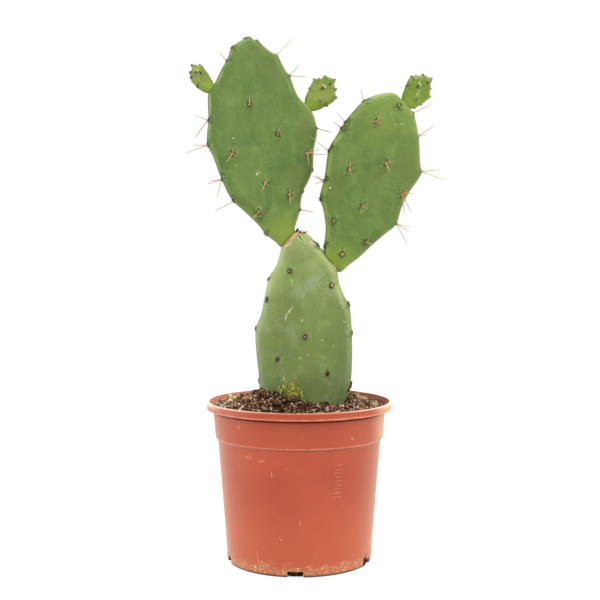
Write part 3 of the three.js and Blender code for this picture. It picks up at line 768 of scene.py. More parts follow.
class Paddle:
    """A paddle's form in its own frame, in mm: x across its face, z along it, -y out of its front."""

    def __init__(self, outline, centre, thickness, length, edge_round, bow, place, front, back, parent=None,
                 mound=(0.75, 4.2), swells=(), ripple=0.35, crown=0.0):
        self.edge = traced(outline, SPOKES_PER_CORNER)
        self.centre = centre
        self.thickness = thickness
        self.length = length
        self.edge_round = edge_round
        self.bow = bow
        own = placed(*place, young=parent is not None)
        self.place = np.array(parent.matrix @ own if parent else own)
        self.matrix = Matrix(self.place)
        self.ripple = ripple
        self.halo = 1.4 if parent else 2.7
        self.crown = crown
        after, before = np.roll(self.edge, -1, 0), np.roll(self.edge, 1, 0)
        out = np.stack([before[:, 1] - after[:, 1], after[:, 0] - before[:, 0]], 1)
        self.out = out / np.linalg.norm(out, axis=1)[:, None]
        self.swells = {-1: [(x, z, *mound) for x, z, *_ in front] + list(swells), 1: []}
        self.areoles = {-1: front, 1: self.back_areoles(outline, **back)}
        self.swells[1] = [(x, z, *mound) for x, z, *_ in self.areoles[1]]

    def nearest(self, x, z):
        """For each point, how far it lies inside the edge, and which edge point is nearest."""
        x, z = np.atleast_1d(x).astype(float), np.atleast_1d(z).astype(float)
        a = self.edge
        s = np.roll(a, -1, 0) - a
        gaps, indices = np.empty(len(x)), np.empty(len(x), int)
        batch = 4000
        for start in range(0, len(x), batch):
            part = slice(start, start + batch)
            dx, dz = x[part, None] - a[:, 0], z[part, None] - a[:, 1]
            share = np.clip((dx * s[:, 0] + dz * s[:, 1]) / (s ** 2).sum(1), 0, 1)
            gap = np.hypot(dx - share * s[:, 0], dz - share * s[:, 1])
            spans = (dz < 0) != (dz < s[:, 1])
            crossed = spans & (dx < dz * s[:, 0] / np.where(s[:, 1] == 0, 1e-9, s[:, 1]))
            inside = crossed.sum(1) % 2 == 1
            indices[part] = gap.argmin(1)
            gaps[part] = np.where(inside, 1, -1) * gap.min(1)
        return gaps, indices

    def middle(self, x, z):
        """How far the middle plane bends: one way along the paddle, the other way across it."""
        return self.bow * ((z / self.length) ** 2 - (x / BOW_WIDTH) ** 2)

    def full(self, z):
        """Half the paddle's thickness, by how far along it."""
        return np.interp(z, [0, self.length], self.thickness) / 2

    def height(self, x, z, side):
        """How far a face stands from the paddle's middle plane, and how far inside the edge it is."""
        gap, _ = self.nearest(x, z)
        inset = 1 - np.clip(gap / self.edge_round, 0, 1)
        swell = ripples(x, z, LONG_RIPPLE, self.length + side) * self.ripple
        swell = swell + ripples(x, z, SHORT_RIPPLE, self.length * 2 + side) * self.ripple * 0.18
        for sx, sz, rise, spread in self.swells[side]:
            swell = swell + rise * np.exp(-((x - sx) ** 2 + (z - sz) ** 2) / (2 * spread ** 2))
        swell = swell * np.clip(gap / (self.edge_round * 0.5), 0, 1)
        return self.middle(x, z) + side * (self.full(z) * np.sqrt(1 - inset ** 2) + swell), gap

    def depth(self, points):
        """Below 0 inside the paddle and above 0 outside it, for points in the plant's frame."""
        back = np.linalg.inv(self.place[:3, :3])
        x, y, z = (points @ back.T - back @ self.place[:3, 3]).T
        gap, _ = self.nearest(x, z)
        inset = np.clip(1 - gap / self.edge_round, 0, None)
        return np.hypot((y - self.middle(x, z)) / self.full(z), inset) - 1

    def world(self, points, turn_only=False):
        """Points, or only the ways that vectors point, taken from the paddle's frame to the plant's."""
        turned_points = np.asarray(points, float) @ self.place[:3, :3].T
        return turned_points if turn_only else turned_points + self.place[:3, 3]

    def seat(self, x, z, side):
        """Where an areole sits and which way it faces, in the paddle's frame."""
        gap, index = (found[0] for found in self.nearest(x, z))
        if gap < EDGE_REACH:
            ex, ez = self.edge[index]
            ox, oz = self.out[index]
            return np.array([ex, self.middle(ex, ez), ez]), np.array([ox, 0, oz])
        step = 0.6
        xs = np.array([x, x + step, x - step, x, x])
        zs = np.array([z, z, z, z + step, z - step])
        here, right, left, above, below = self.height(xs, zs, side)[0]
        out = np.array([-(right - left), 2 * step, -(above - below)]) * side
        return np.array([x, here, z]), out / np.linalg.norm(out)

    def back_areoles(self, outline, pitch, low, high, spines, seed):
        """Areoles on the back stand in rows, each shifted by half a step from the one below."""
        draw = steady_draws(seed)
        steps = math.ceil(max(abs(x) for x, _ in outline) / pitch)
        found = []
        shift = 0
        z = low
        while z <= high:
            for i in range(-steps, steps + 1):
                at = (i * pitch + shift + (next(draw) - 0.5) * 4, z + (next(draw) - 0.5) * 4)
                grown_here = [
                    ((next(draw) - 0.5) * 14, (next(draw) - 0.6) * 14, 7 + next(draw) * 6)
                    for _ in range(spines)
                ]
                if self.nearest(*at)[0][0] > pitch * 0.3:
                    found.append((*at, *grown_here))
            shift = pitch / 2 - shift
            z += pitch * 0.8
        return found


def steady_draws(seed):
    """Random numbers from 0 to 1 that are the same in each run."""
    state = seed
    while True:
        state = (state * 1664525 + 1013904223) % 2 ** 32
        yield state / 2 ** 32


def ripples(x, z, wave, seed):
    """A gentle unevenness of about that wavelength, between -1 and 1."""
    draw = np.random.default_rng(int(abs(seed) * 10))
    total = 0
    for _ in range(RIPPLE_WAVES):
        turn = draw.uniform(0, 2 * math.pi)
        pace = 2 * math.pi / (wave * draw.uniform(0.7, 1.5))
        phase = draw.uniform(0, 6)
        total = total + np.sin((x * math.cos(turn) + z * math.sin(turn)) * pace + phase)
    return total / 4


def stroked(x, z, strokes, reach):
    """How much of a stroke lies over each point. Each stroke is its width and its broken line."""
    most = np.zeros(len(x))
    for width, *line in strokes:
        gap = np.full(len(x), np.inf)
        for (ax, az), (bx, bz) in zip(line, line[1:]):
            sx, sz = bx - ax, bz - az
            share = np.clip(((x - ax) * sx + (z - az) * sz) / (sx ** 2 + sz ** 2), 0, 1)
            gap = np.minimum(gap, np.hypot(x - ax - share * sx, z - az - share * sz))
        most = np.maximum(most, np.clip(reach - gap / width, 0, 1))
    return most


def paddle_mesh(name, paddle, material, corky=(), creases=()):
    """Both faces over the outline, with what the skin's finish reads kept at each point."""
    spokes = len(paddle.edge)
    centre = np.array(paddle.centre, float)
    shares = (np.arange(1, PADDLE_RINGS) / PADDLE_RINGS) ** RING_CROWDING
    rings = [paddle.edge + (centre - paddle.edge) * share for share in shares]
    flat = np.concatenate([*rings, centre[None]])
    points = [np.stack([paddle.edge[:, 0], paddle.middle(*paddle.edge.T), paddle.edge[:, 1]], 1)]
    rims = [np.zeros(spokes)]
    for side in (-1, 1):
        y, gap = paddle.height(*flat.T, side)
        points.append(np.stack([flat[:, 0], y, flat[:, 1]], 1))
        rims.append(gap)
    faces = []
    for side in (0, 1):
        start = spokes + side * len(flat)
        for i in range(spokes):
            after = (i + 1) % spokes
            outer = 0
            for j in range(PADDLE_RINGS - 1):
                inner = start + j * spokes
                quad = (outer + i, inner + i, inner + after, outer + after)
                faces.append(quad[::-1] if side else quad)
                outer = inner
            tip = (outer + i, start + len(flat) - 1, outer + after)
            faces.append(tip[::-1] if side else tip)
    points = np.concatenate(points)
    mesh = mesh_of(name, paddle.world(points), faces, material)
    x, y, z = points.T
    halo = np.zeros(len(points))
    front = y <= paddle.middle(x, z)
    for side, half in ((-1, front), (1, ~front)):
        for ax, az, *_ in paddle.areoles[side]:
            gap = (x - ax) ** 2 + ((z - az) * 0.8) ** 2
            halo = np.maximum(halo, half * np.exp(-gap / (2 * paddle.halo ** 2)))
    run = np.clip(z / paddle.length, 0, 1)
    for trait, values in (
        ("rim", np.concatenate(rims)), ("halo", halo), ("run", run),
        ("cork", stroked(x, z, corky, 1.5)), ("crease", stroked(x, z, creases, 1.3)),
        # crown: how much painted light pales the paddle's top
        ("crown", paddle.crown * np.clip((run - 0.55) / 0.37, 0, 1) ** 1.5),
    ):
        mark(mesh, trait, values)
    return mesh, paddle.world(points), faces


# Where the two upper paddles stand close to each other, as x in metres.
GAP_X = 0.018


def skin(name, face, dark, light, aged, band, outline, foot, foot_run, bloom, bloom_share, edge_run,
         areole_glint, tuft_share, sheen, flank=(1.0, 2.0, 0.0), lit_side=(1.0, 2.0, 0.0), gap_edge_light=0.0):
    """A paddle's skin: waxy green, blotched and streaked, with a light band of painted highlight inside a
    dark margin of painted shade. flank is painted shade and sunned painted light, darker or paler from one
    x to another, in metres, by the share that follows. gap_edge_light is how much painted light pales the
    edges that face each other between the upper paddles."""
    material, wire, shader = material_of(
        name, Specular_IOR_Level=0.36, Subsurface_Weight=0.05, Subsurface_Scale=0.004,
        Sheen_Weight=sheen, Sheen_Roughness=0.35)
    place = wire.place()
    upright = wire.node("ShaderNodeVectorMath", {"operation": "MULTIPLY"}, {0: place, 1: (1.0, 1.0, 0.22)})
    blotch = wire.noise(place, 30, 3, 0.55)
    cloud = wire.noise(place, 85, 4, 0.6)
    streak = wire.noise(upright, 190, 3, 0.55)
    mottle = wire.noise(place, 330, 4, 0.6)
    olive = wire.noise(place, 24, 4, 0.6)
    fleck = wire.noise(place, 470, 2, 0.5)
    specks = wire.noise(place, 380, 2, 0.4).rise(0.75, 0.79)
    torn = wire.noise(place, 240, 5, 0.7)
    broken = wire.noise(place, 60, 3, 0.6).rise(0.36, 0.6)
    pores = wire.node("ShaderNodeTexVoronoi", None, {"Vector": place, "Scale": 780}, "Distance")
    pores = 1 - pores.rise(0.12, 0.3)
    rim, halo, run = (wire.trait(trait) for trait in ("rim", "halo", "run"))
    across = place.axis("X")
    footed = (1 - (run + (cloud - 0.5) * 0.16).rise(0, foot_run)) * (0.45 + streak * 0.5)
    film = (wire.noise(place, 34, 4, 0.62) + (mottle - 0.5) * 0.3 - rim.rise(3, 16) * 0.06).rise(0.44, 0.66)
    # Painted shade along the creases at a paddle's foot.
    crease_shade = (wire.trait("crease") + (cloud - 0.5) * 0.7).rise(0.2, 0.8)
    # Painted light: the upper part of the paddle paler on one side.
    side_light = (across + (cloud - 0.5) * 0.03).rise(*lit_side[:2]) * run.rise(0.58, 0.74)
    # Painted light on the edges where the upper paddles face and shade each other.
    between = (1 - wire.math("ABSOLUTE", across - GAP_X).rise(0.014, 0.03)) * (1 - rim.rise(0.8, 4))
    # Painted highlight: a pale band just inside the rounded edge, broken in places.
    margin = rim.rise(0.1, 0.6) * (1 - rim.rise(edge_run * 0.3, edge_run)) * (0.25 + broken * 0.4)
    margin = margin * (0.25 + run.rise(0.25, 0.7) * 0.75)
    # Painted highlight along the ridge where the face meets the rounded margin.
    ridge = rim.rise(2.6, 3.1) * (1 - rim.rise(3.3, 3.9)) * wire.noise(place, 45, 2).rise(0.5, 0.6)
    # Dark mottled patches round each areole, partly its glochid tufts and partly painted shade.
    tuft_and_shade = (halo + (mottle - 0.5) * 1.6).rise(0.42, 0.8)
    near = halo.rise(0.06, 0.25)
    cork = (wire.trait("cork") + (torn - 0.5) * 0.9).rise(0.25, 0.75)
    bark = torn.ramp((0.32, 146, 112, 86), (0.5, 198, 164, 136), (0.7, 220, 202, 174))
    colour = wire.plain(face).coated(
        (dark, blotch.rise(0.46, 0.66) * 0.75),
        (light, cloud.rise(0.5, 0.72) * 0.62),
        (dark, streak.rise(0.54, 0.72) * 0.45),
        (light, (1 - streak).rise(0.56, 0.72) * 0.3),
        (aged, olive.rise(0.48, 0.64) * 0.65),
        (light, (1 - olive).rise(0.52, 0.66) * 0.35),
        (foot, footed),
        (bloom, film * bloom_share),
        # painted light: the top of the paddle paler, by its crown
        (band, wire.trait("crown") * 0.7),
        (dark, crease_shade * 0.75),
        # painted shade on one side of the paddle
        (dark, across.rise(*flank[:2]) * flank[2]),
        # painted light on one side
        (band, side_light * lit_side[2]),
        (band, between * gap_edge_light),
        (band, margin),
        (band, ridge * 0.4),
        # painted shade at the very edge, where it turns away from the light
        (outline, (1 - rim.rise(0.2, 1.1)) * (1 - broken) * 0.4),
        # painted shade round each areole
        (dark, halo * 0.4),
        (outline, tuft_and_shade * tuft_share),
        # painted glints near the areoles
        (areole_glint, near * fleck.rise(0.57, 0.64) * 0.45),
        (outline, near * (1 - fleck.rise(0.34, 0.42)) * tuft_share),
        (light, pores * 0.15),
        (paint(186, 198, 136), specks * 0.4),
        (bark, cork * 0.72),
    )
    rough = 0.46 + film * 0.1 + (mottle - 0.5) * 0.1 + cork * 0.35
    relief = mottle * 0.35 + cloud * 0.25 - pores * 0.12 + cork * torn * 0.9
    feed(shader, Base_Color=colour, Roughness=rough, Normal=bump(relief, 0.32, 0.0006))
    return material


# The lower paddle's skin: painted shade on its right side and painted light on its upper left.
lower_skin = skin(
    "lower_skin", face=paint(106, 125, 63), dark=paint(87, 106, 54), light=paint(121, 138, 74),
    aged=paint(108, 118, 61), band=paint(160, 170, 106), outline=paint(78, 94, 46),
    foot=paint(97, 115, 61), foot_run=0.24, bloom=paint(136, 153, 120), bloom_share=0.52, edge_run=7,
    areole_glint=paint(146, 170, 124), tuft_share=0.8, sheen=0.25,
    flank=(0.026, 0.044, 0.85), lit_side=(-0.01, -0.026, 0.6))
lower = Paddle(
    outline=[
        (-8.5, 162), (-1, 163.5), (4, 161), (15, 149), (22.5, 140), (31.8, 127.3), (34.2, 114.5),
        (39, 102.5), (43.5, 94), (46, 72), (46.5, 45), (45.4, 24), (43.6, 14), (40, 3), (37, -6),
        (30, -30), (12, -46), (-10, -46), (-28, -30), (-39, -2), (-41, 26), (-43.5, 50), (-44, 72),
        (-39, 85), (-36, 99), (-31, 120.4), (-24.4, 131), (-20.4, 144.6), (-19.2, 151.6),
    ],
    centre=(2, 58), thickness=(33, 19), length=163, edge_round=17, bow=0,
    place=((3, 14, 140), 0, 0, -6),
    front=[
        (-10.7, 126), (27.8, 112.8), (-32.4, 99.2), (3.8, 65.5), (-21.7, 44.3), (24.7, 32.1),
        (46, 67), (-41, 26), (46, 19.5), (43.5, 95), (-44, 73), (-32, 120), (14, 150),
    ],
    back=dict(pitch=27, low=24, high=140, spines=0, seed=5),
    mound=(0.6, 4.5), ripple=0.5, crown=0.45,
)
lower_mesh, *_ = paddle_mesh(
    "lower_paddle", lower, lower_skin,
    corky=[
        (2.6, (-19, 150), (-14, 153.5), (-8, 158.5)), (1.8, (-15, 149), (-10, 154)),
        (1.5, (-5, 160), (2, 162), (5, 160)), (1.3, (9, 153), (12, 151)),
        (0.9, (27.5, 133.5), (32.5, 127.5)),
    ])
piece("lower_paddle", lower_mesh, "lower_skin", "paddle_lower")

# The two upper paddles: broad blades grown from the lower one's top edge, a fresher green than it,
# each with a ring of cork where it was born.
# The upper paddles' skin: painted shade on the far left and painted light where their edges face.
upper_skin = skin(
    "upper_skin", face=paint(83, 106, 41), dark=paint(70, 95, 36), light=paint(99, 122, 55),
    aged=paint(90, 104, 47), band=paint(138, 158, 70), outline=paint(52, 74, 24),
    foot=paint(121, 144, 38), foot_run=0.17, bloom=paint(114, 136, 74), bloom_share=0.3, edge_run=3,
    areole_glint=paint(132, 160, 94), tuft_share=0.8, sheen=0.1, flank=(-0.06, -0.082, 0.5), gap_edge_light=0.55)
left = Paddle(
    outline=[
        (3, 189.2), (7.5, 187), (12, 183.9), (17.2, 177.2), (20.8, 173.2), (26.5, 168), (31, 154),
        (34, 147), (37, 130), (40, 123.5), (47, 113.5), (48.5, 93), (42, 76), (37, 58), (32, 49.5),
        (23, 38), (17, 22), (9, 7), (8.5, 2.5), (0.5, -2.5), (-7, -6.5), (-11.6, -0.8), (-19, 7.6),
        (-23.4, 16.2), (-33.2, 30.3), (-44, 45), (-50, 67), (-53, 86), (-56, 99), (-52.5, 113),
        (-50, 121), (-44.5, 145), (-38, 151.5), (-27, 165.5), (-21, 172), (-14, 182.8), (-5, 187.4),
    ],
    centre=(-3, 100), thickness=(15, 18), length=190, edge_round=9, bow=3,
    place=((-11.5, 14, 296), 4, -11, 14),
    front=[
        (-11.4, 126.5, (0.1, 6.6, 7)),
        (9.2, 95.3, (2.7, 6.9, 7)),
        (-36.3, 85.2, (-10.1, -8.8, 7), (-5, 0, 7)),
        (-11.6, 53.7, (-6.8, -8.9, 7), (3, 3, 8)),
        (32.9, 72.9, (-2, -12.5, 6), (14, 1.5, 6), (18, -4.5, 3)),
        (8.7, 38.7, (5.7, 2.8, 7), (-2.6, -11.5, 6)),
        (-23.8, 28.6, (-9.9, -7.4, 7), (2.7, 1.4, 7)),
        (-21, 172, (-5.5, 10, 2)),
        (26.5, 168, (19.9, 13.8, 0)),
        (34, 147, (14, 10, -3), (16, -4, 4)),
        (49, 93.5, (15, -7, 0)),
        (37.5, 57), (23, 38),
        (17, 22, (12.5, -5.5, 3)),
        (-20, 7),
        (-44, 45, (-19.5, -6, 0)),
        (-50, 67, (-11.5, 0.5, 4), (-15, -1.5, -2), (-9, -17, 2)),
        (-56, 99, (-13.5, 2.5, -2), (-23.5, -4, 2)),
        (-50, 121, (-12.5, 6.5, 2), (-17, -15, -1)),
        (-14, 183), (0.5, 190), (5, 189), (11, 184),
    ],
    back=dict(pitch=30, low=30, high=175, spines=2, seed=11),
    swells=[
        (-6.4, 50, -1.0, 3.6), (-5.8, 43, -1.3, 3.8), (-5.2, 36, -1.3, 3.8), (-4.6, 29.5, -0.8, 3.4),
        (1, 40, 0.7, 4),
    ],
)
right = Paddle(
    outline=[
        (-2, 166.5), (7.5, 163.5), (16, 159.6), (22.2, 157.4), (27.2, 151.6), (34.5, 141.5), (40.5, 131),
        (48, 116), (52.5, 109), (47.5, 86), (46, 72), (46.5, 54), (40, 43.5), (30.5, 27.5), (24, 15),
        (16, 3), (10, -6), (1, -4), (-8, 1.5), (-13, 13), (-17.5, 28.5), (-26, 43.5), (-32.5, 52),
        (-35, 70.5), (-40.5, 98), (-38.5, 110), (-35, 127), (-32, 136), (-25, 151), (-13, 161.5),
    ],
    centre=(4, 86), thickness=(14, 18), length=166, edge_round=9, bow=-3,
    place=((30.5, 14, 273.5), -4, 20, 16),
    front=[
        (3.2, 156.1),
        (-10.6, 135.3, (-1, 7.4, 7), (1.6, -1.3, 8)),
        (12.7, 103.1, (1.3, 5.9, 8), (4.7, -8.4, 7)),
        (-18.2, 85.3, (-4.9, 7.4, 7)),
        (5.5, 58.5, (2, 3.5, 8), (4.5, -2, 8)),
        (22.1, 28.9, (4.2, -0.2, 8)),
        (38.6, 82.6, (4.1, 5.4, 6), (10.5, 4.7, 3), (7.2, -18.7, 7), (13, -13.1, 5)),
        (-35.4, 118.5, (-10.7, 1.9, 5)),
        (3.9, 10.4), (-14.7, 36.3),
        (-25, 151, (-7.5, 9, 2)),
        (-35, 127, (-12, 5.5, 0)),
        (-40.5, 98, (-25, 5, 9)),
        (-35, 70.5, (-13, -0.5, 3), (-8.5, -7, 3), (-8.5, 2, -4)),
        (-32.5, 52), (-13, 13),
        (23.4, 156.2, (14.6, 14.8, 0)),
        (36, 138, (13, 16.5, -2), (10, 5.5, -5)),
        (52.5, 109, (17.5, 8.5, 0), (27, 1.5, -3)),
        (46.5, 54, (14, 1, 2), (17.5, -3, -2), (17.5, -15.5, 3)),
    ],
    back=dict(pitch=29, low=34, high=150, spines=2, seed=23),
    swells=[(8, 151, 2.4, 5.5), (12, 157, 1.6, 4.5)], crown=0.5,
)
left_mesh, left_points, left_faces = paddle_mesh(
    "left_paddle", left, upper_skin,
    # Two creases at the foot of the left paddle, darkened with painted shade.
    creases=[(4, (-10, 52), (-10.4, 43), (-11.5, 34)), (3.4, (-14, 31), (-20, 26), (-23, 22))])
right_mesh, right_points, right_faces = paddle_mesh("right_paddle", right, upper_skin)
piece("left_paddle", left_mesh, "upper_skin", "paddle_left")
piece("right_paddle", right_mesh, "upper_skin", "paddle_right")

# The three young paddles: this year's growth, bright yellow-green and still small, each areole
# raised on a knob so that the edge is scalloped, and pointed with a small fleshy leaf.
young_skin = skin(
    "young_skin", face=paint(93, 119, 32), dark=paint(76, 100, 30), light=paint(122, 136, 52),
    aged=paint(132, 124, 60), band=paint(146, 162, 56), outline=paint(64, 74, 30),
    foot=paint(110, 136, 30), foot_run=0.5, bloom=paint(160, 152, 84), bloom_share=0.3, edge_run=2,
    areole_glint=paint(152, 168, 80), tuft_share=0.6, sheen=0.1)
YOUNG = dict(edge_round=5.5, bow=0, thickness=(7, 9), mound=(1.1, 2.6), ripple=0.12)
young_left = Paddle(
    outline=[
        (2, -3), (-4, -3), (-8, 0), (-10.4, 4.5), (-11.4, 9.5), (-11.3, 14.5), (-9.6, 19.6), (-6, 23),
        (-2, 24.5), (1, 27), (4, 24), (8, 22.5), (8, 17), (7, 11), (6, 5), (4, 0),
    ],
    centre=(-1, 13), length=27, place=((-41.1, 0, 148.4), 0, -31, 24), parent=left,
    front=[
        (1, 27), (8, 22.5), (-6, 23), (-9.6, 19.6), (-11.4, 9.5), (7, 11), (-2, 17), (-5.6, 19),
    ],
    back=dict(pitch=7, low=5, high=23, spines=0, seed=3), **YOUNG,
)
young_middle = Paddle(
    outline=[
        (3, -3), (-3, -3), (-4, 1), (-7, 6), (-8.5, 11), (-10, 16), (-11.5, 21), (-12, 25.5), (-8, 28.9),
        (-6.2, 34.4), (-2, 36), (3.4, 37.5), (6.4, 33), (10.2, 30.8), (11.6, 28), (15.4, 24.4),
        (15.5, 18.5), (13.2, 12), (10.6, 5.4), (6, -0.8),
    ],
    centre=(1, 19), length=37, place=((44.5, 0, 117), 0, 53, -14), parent=left,
    front=[
        (15.4, 24.4), (10.2, 30.8), (3.4, 37.5), (-6.2, 34.4), (-8, 28.9), (-12, 25.5), (-10, 16),
        (13.2, 12), (0.3, 22.1), (6.6, 11.5), (3.5, 29.9), (-7.4, 26.6),
    ],
    back=dict(pitch=8, low=6, high=32, spines=0, seed=7), **YOUNG,
)
young_right = Paddle(
    outline=[
        (3, -3), (-3.5, -3), (-6.8, 1.5), (-9.8, 7), (-12, 13.6), (-13.6, 18), (-13.8, 23.4),
        (-8.6, 28.4), (-5.4, 32.6), (-1, 34.5), (4, 36), (6, 31.5), (9.5, 28.5), (10.5, 26), (14.5, 23),
        (14, 18), (12, 11), (9.5, 5), (5, -0.5),
    ],
    centre=(1, 18), length=35, place=((13.5, 0, 161), 0, 20, 12), parent=right,
    front=[
        (14.5, 23), (9.5, 28.5), (4, 36), (-5.4, 32.6), (-13.8, 23.4), (-12, 13.6), (12, 11), (-4.4, 19.9),
        (3.2, 10.8), (0.2, 28.8), (-8.8, 25),
    ],
    back=dict(pitch=8, low=5, high=30, spines=0, seed=9), **YOUNG,
)
YOUNG_PADDLES = {"left": (young_left, left), "middle": (young_middle, left), "right": (young_right, right)}
# Where paddles meet: the upper one's points and faces, the lower one, the cork's radius and its age.
joints = [(left_points, left_faces, lower, 0.75, 0), (right_points, right_faces, lower, 0.75, 0.8)]
for name, (young, parent) in YOUNG_PADDLES.items():
    young_mesh, young_points, young_faces = paddle_mesh(f"young_{name}", young, young_skin)
    piece(f"young_{name}", young_mesh, "young_skin", f"young_paddle_{name}")
    joints.append((young_points, young_faces, parent, 0.4, 0.7))

# The joints: a thin ring of cork has grown round each paddle where it meets the one below, on the
# line where their surfaces cross. It is brown on the left upper paddle and darker on the others.
RING_STEP = 0.9


def crossing_loop(points, faces, value):
    """The longest loop of a mesh along which a value kept at its points passes through zero."""
    spots, links = {}, {}
    for face in faces:
        cuts = []
        for a, b in zip(face, (*face[1:], face[0])):
            if (value[a] < 0) != (value[b] < 0):
                key = (min(a, b), max(a, b))
                share = value[key[0]] / (value[key[0]] - value[key[1]])
                spots[key] = points[key[0]] + (points[key[1]] - points[key[0]]) * share
                cuts.append(key)
        if len(cuts) == 2:
            links.setdefault(cuts[0], []).append(cuts[1])
            links.setdefault(cuts[1], []).append(cuts[0])
    loops = []
    waiting = set(links)
    while waiting:
        here = min(waiting)
        loop = []
        while here is not None:
            waiting.discard(here)
            loop.append(spots[here])
            here = next((key for key in links[here] if key in waiting), None)
        loops.append(np.array(loop))
    return max(loops, key=len)


def evened(loop, step):
    """A closed loop with its points a step apart."""
    closed = np.vstack([loop, loop[:1]])
    run = np.concatenate([[0], np.cumsum(np.linalg.norm(np.diff(closed, axis=0), axis=1))])
    count = max(12, round(run[-1] / step))
    at = np.linspace(0, run[-1], count, endpoint=False)
    return np.stack([np.interp(at, run, closed[:, k]) for k in range(3)], 1)


def joined(parts):
    """Several lists of points and faces as one."""
    points, faces = [], []
    for part_points, part_faces in parts:
        start = len(points)
        points.extend(part_points)
        faces.extend(tuple(start + i for i in face) for face in part_faces)
    return points, faces


cork, cork_wire, cork_shader = material_of("cork", Specular_IOR_Level=0.2, Roughness=0.9)
cork_grain = cork_wire.noise(cork_wire.place(), 420, 5, 0.7)
cork_colour = cork_grain.ramp(
    (0.3, 84, 40, 20), (0.48, 142, 74, 38), (0.62, 176, 116, 76), (0.8, 206, 168, 130))
cork_colour = cork_colour.tint(paint(46, 44, 22), cork_wire.trait("age"))
feed(cork_shader, Normal=bump(cork_grain, 0.6, 0.0005), Base_Color=cork_colour)
rings, ages = [], []
for points, faces, parent, radius, age in joints:
    loop = evened(crossing_loop(points, faces, parent.depth(points)), RING_STEP)
    swell = [radius * (0.75 + 0.55 * noise.noise(Vector(p) * 0.4)) for p in loop]
    rings.append(tube(loop, swell, 7, closed=True))
    ages.extend([age] * len(rings[-1][0]))
ring_mesh = mesh_of("joint_rings", *joined(rings), cork)
mark(ring_mesh, "age", ages)
piece("joint_rings", ring_mesh, "cork")

# The areoles: small pads of wool, dark at the rim and tan at the middle, that the spines and the
# glochids, fine barbed hairs in a tuft, grow from.
standing, given = new_tree("Standing", Shape="Object", Stretch="Float", Finish="Material")
reach = kept(given, "FLOAT_VECTOR", "along")
thick = kept(given, "FLOAT", "thick")
long = reach.node("ShaderNodeVectorMath", {"operation": "LENGTH"}, {0: reach}, "Value")
aim = reach.node("FunctionNodeAlignRotationToVector", {"axis": "Z"}, {"Vector": reach})
aim = aim.node("FunctionNodeAlignRotationToVector", {"axis": "Y", "pivot_axis": "Z"},
               {"Rotation": aim, "Vector": kept(given, "FLOAT_VECTOR", "up")})
shape = given["Shape"].node("GeometryNodeObjectInfo", None, {"Object": given["Shape"]}, "Geometry")
size = long.node("ShaderNodeCombineXYZ", None, {"X": thick, "Y": thick * given["Stretch"], "Z": long})
inputs = {"Points": given["Mesh"], "Instance": shape, "Rotation": aim, "Scale": size}
copies = reach.node("GeometryNodeInstanceOnPoints", None, inputs)
end_tree(copies, given["Finish"])

# Grows hairs all over a mesh, each leaning its own way.
fuzz, given = new_tree("Fuzz", Hair="Object", Density="Float", Lean="Float", Seed="Int", Finish="Material")
inputs = {"Mesh": given["Mesh"], "Density": given["Density"], "Seed": given["Seed"]}
roots = given["Mesh"].node("GeometryNodeDistributePointsOnFaces", None, inputs)
upright = Wire(fuzz, roots.socket.node.outputs["Rotation"])
lean = given["Lean"].node("ShaderNodeCombineXYZ", None, {"X": given["Lean"], "Y": given["Lean"], "Z": 3.1})
back_lean = lean.node("ShaderNodeVectorMath", {"operation": "SCALE"}, {0: lean, "Scale": -1.0})
aim = roots.node("FunctionNodeRotateRotation", {"rotation_space": "LOCAL"},
                 {"Rotation": upright, "Rotate By": tumble(roots, back_lean, lean, given["Seed"] + 1)})
shape = given["Hair"].node("GeometryNodeObjectInfo", None, {"Object": given["Hair"]}, "Geometry")
size = chance(roots, 0.5, 1.3, given["Seed"] + 2)
inputs = {"Points": roots, "Instance": shape, "Rotation": aim, "Scale": size}
copies = roots.node("GeometryNodeInstanceOnPoints", None, inputs)
end_tree(copies, given["Finish"])


def shape_of(name, points, faces, reach):
    """A shape for copies to be taken from, kept out of the scene. reach runs from its root to its tip."""
    mesh = mesh_of(name, points, faces)
    mark(mesh, "reach", reach)
    return bpy.data.objects.new(name, mesh)


def spindle(name, radii, heights, sides, bend=0.0):
    """A shape that stands 1 m tall on its root, by its radii at the given heights."""
    heights = np.asarray(heights, float)
    path = [(bend * h ** 2 / MM, 0, h / MM) for h in heights]
    points, faces = tube(path, np.asarray(radii) / MM, sides)
    return shape_of(name, points, faces, np.repeat(np.clip(heights, 0, 1), sides))


WOOL_RADIUS = 1.45
WOOL_HEIGHT = 0.8
# Across a pad, from its root over its dark rim and a groove to its middle, as (radius, height).
PAD_SECTION = [
    (0, -0.5), (0.9, -0.5), (1, 0), (0.92, 0.45), (0.76, 0.72), (0.6, 0.6), (0.5, 0.58), (0.36, 0.86),
    (0.18, 1), (0, 1.04),
]
PAD_SIDES = 16
pad_points, pad_faces = turned(PAD_SECTION, PAD_SIDES)
pad_reach = [1 - math.hypot(*point[:2]) for point in pad_points]
pad_shape = shape_of("wool_pad", np.array(pad_points) / MM, pad_faces, pad_reach)
HAIR_SIDES = 3
glochid = shape_of(
    "glochid", *tube([(0, 0, -0.2), (0.03, 0, 0.5), (0.1, 0, 1.0)], [0.09, 0.075, 0.015], HAIR_SIDES),
    np.repeat([0, 0.5, 1], HAIR_SIDES))
wool, wool_wire, wool_shader = material_of("areole_wool", Specular_IOR_Level=0.1, Roughness=0.95)
wool_grain = wool_wire.noise(wool_wire.place(), 1500, 3)
wool_tone = wool_wire.trait("reach") + (wool_grain - 0.5) * 0.6 + (wool_wire.trait("tone") - 0.6) * 0.7
feed(wool_shader, Normal=bump(wool_grain, 0.8, 0.0005), Base_Color=wool_tone.ramp(
    (0.1, 34, 36, 18), (0.34, 104, 76, 42), (0.52, 194, 148, 104), (0.8, 226, 194, 152)))
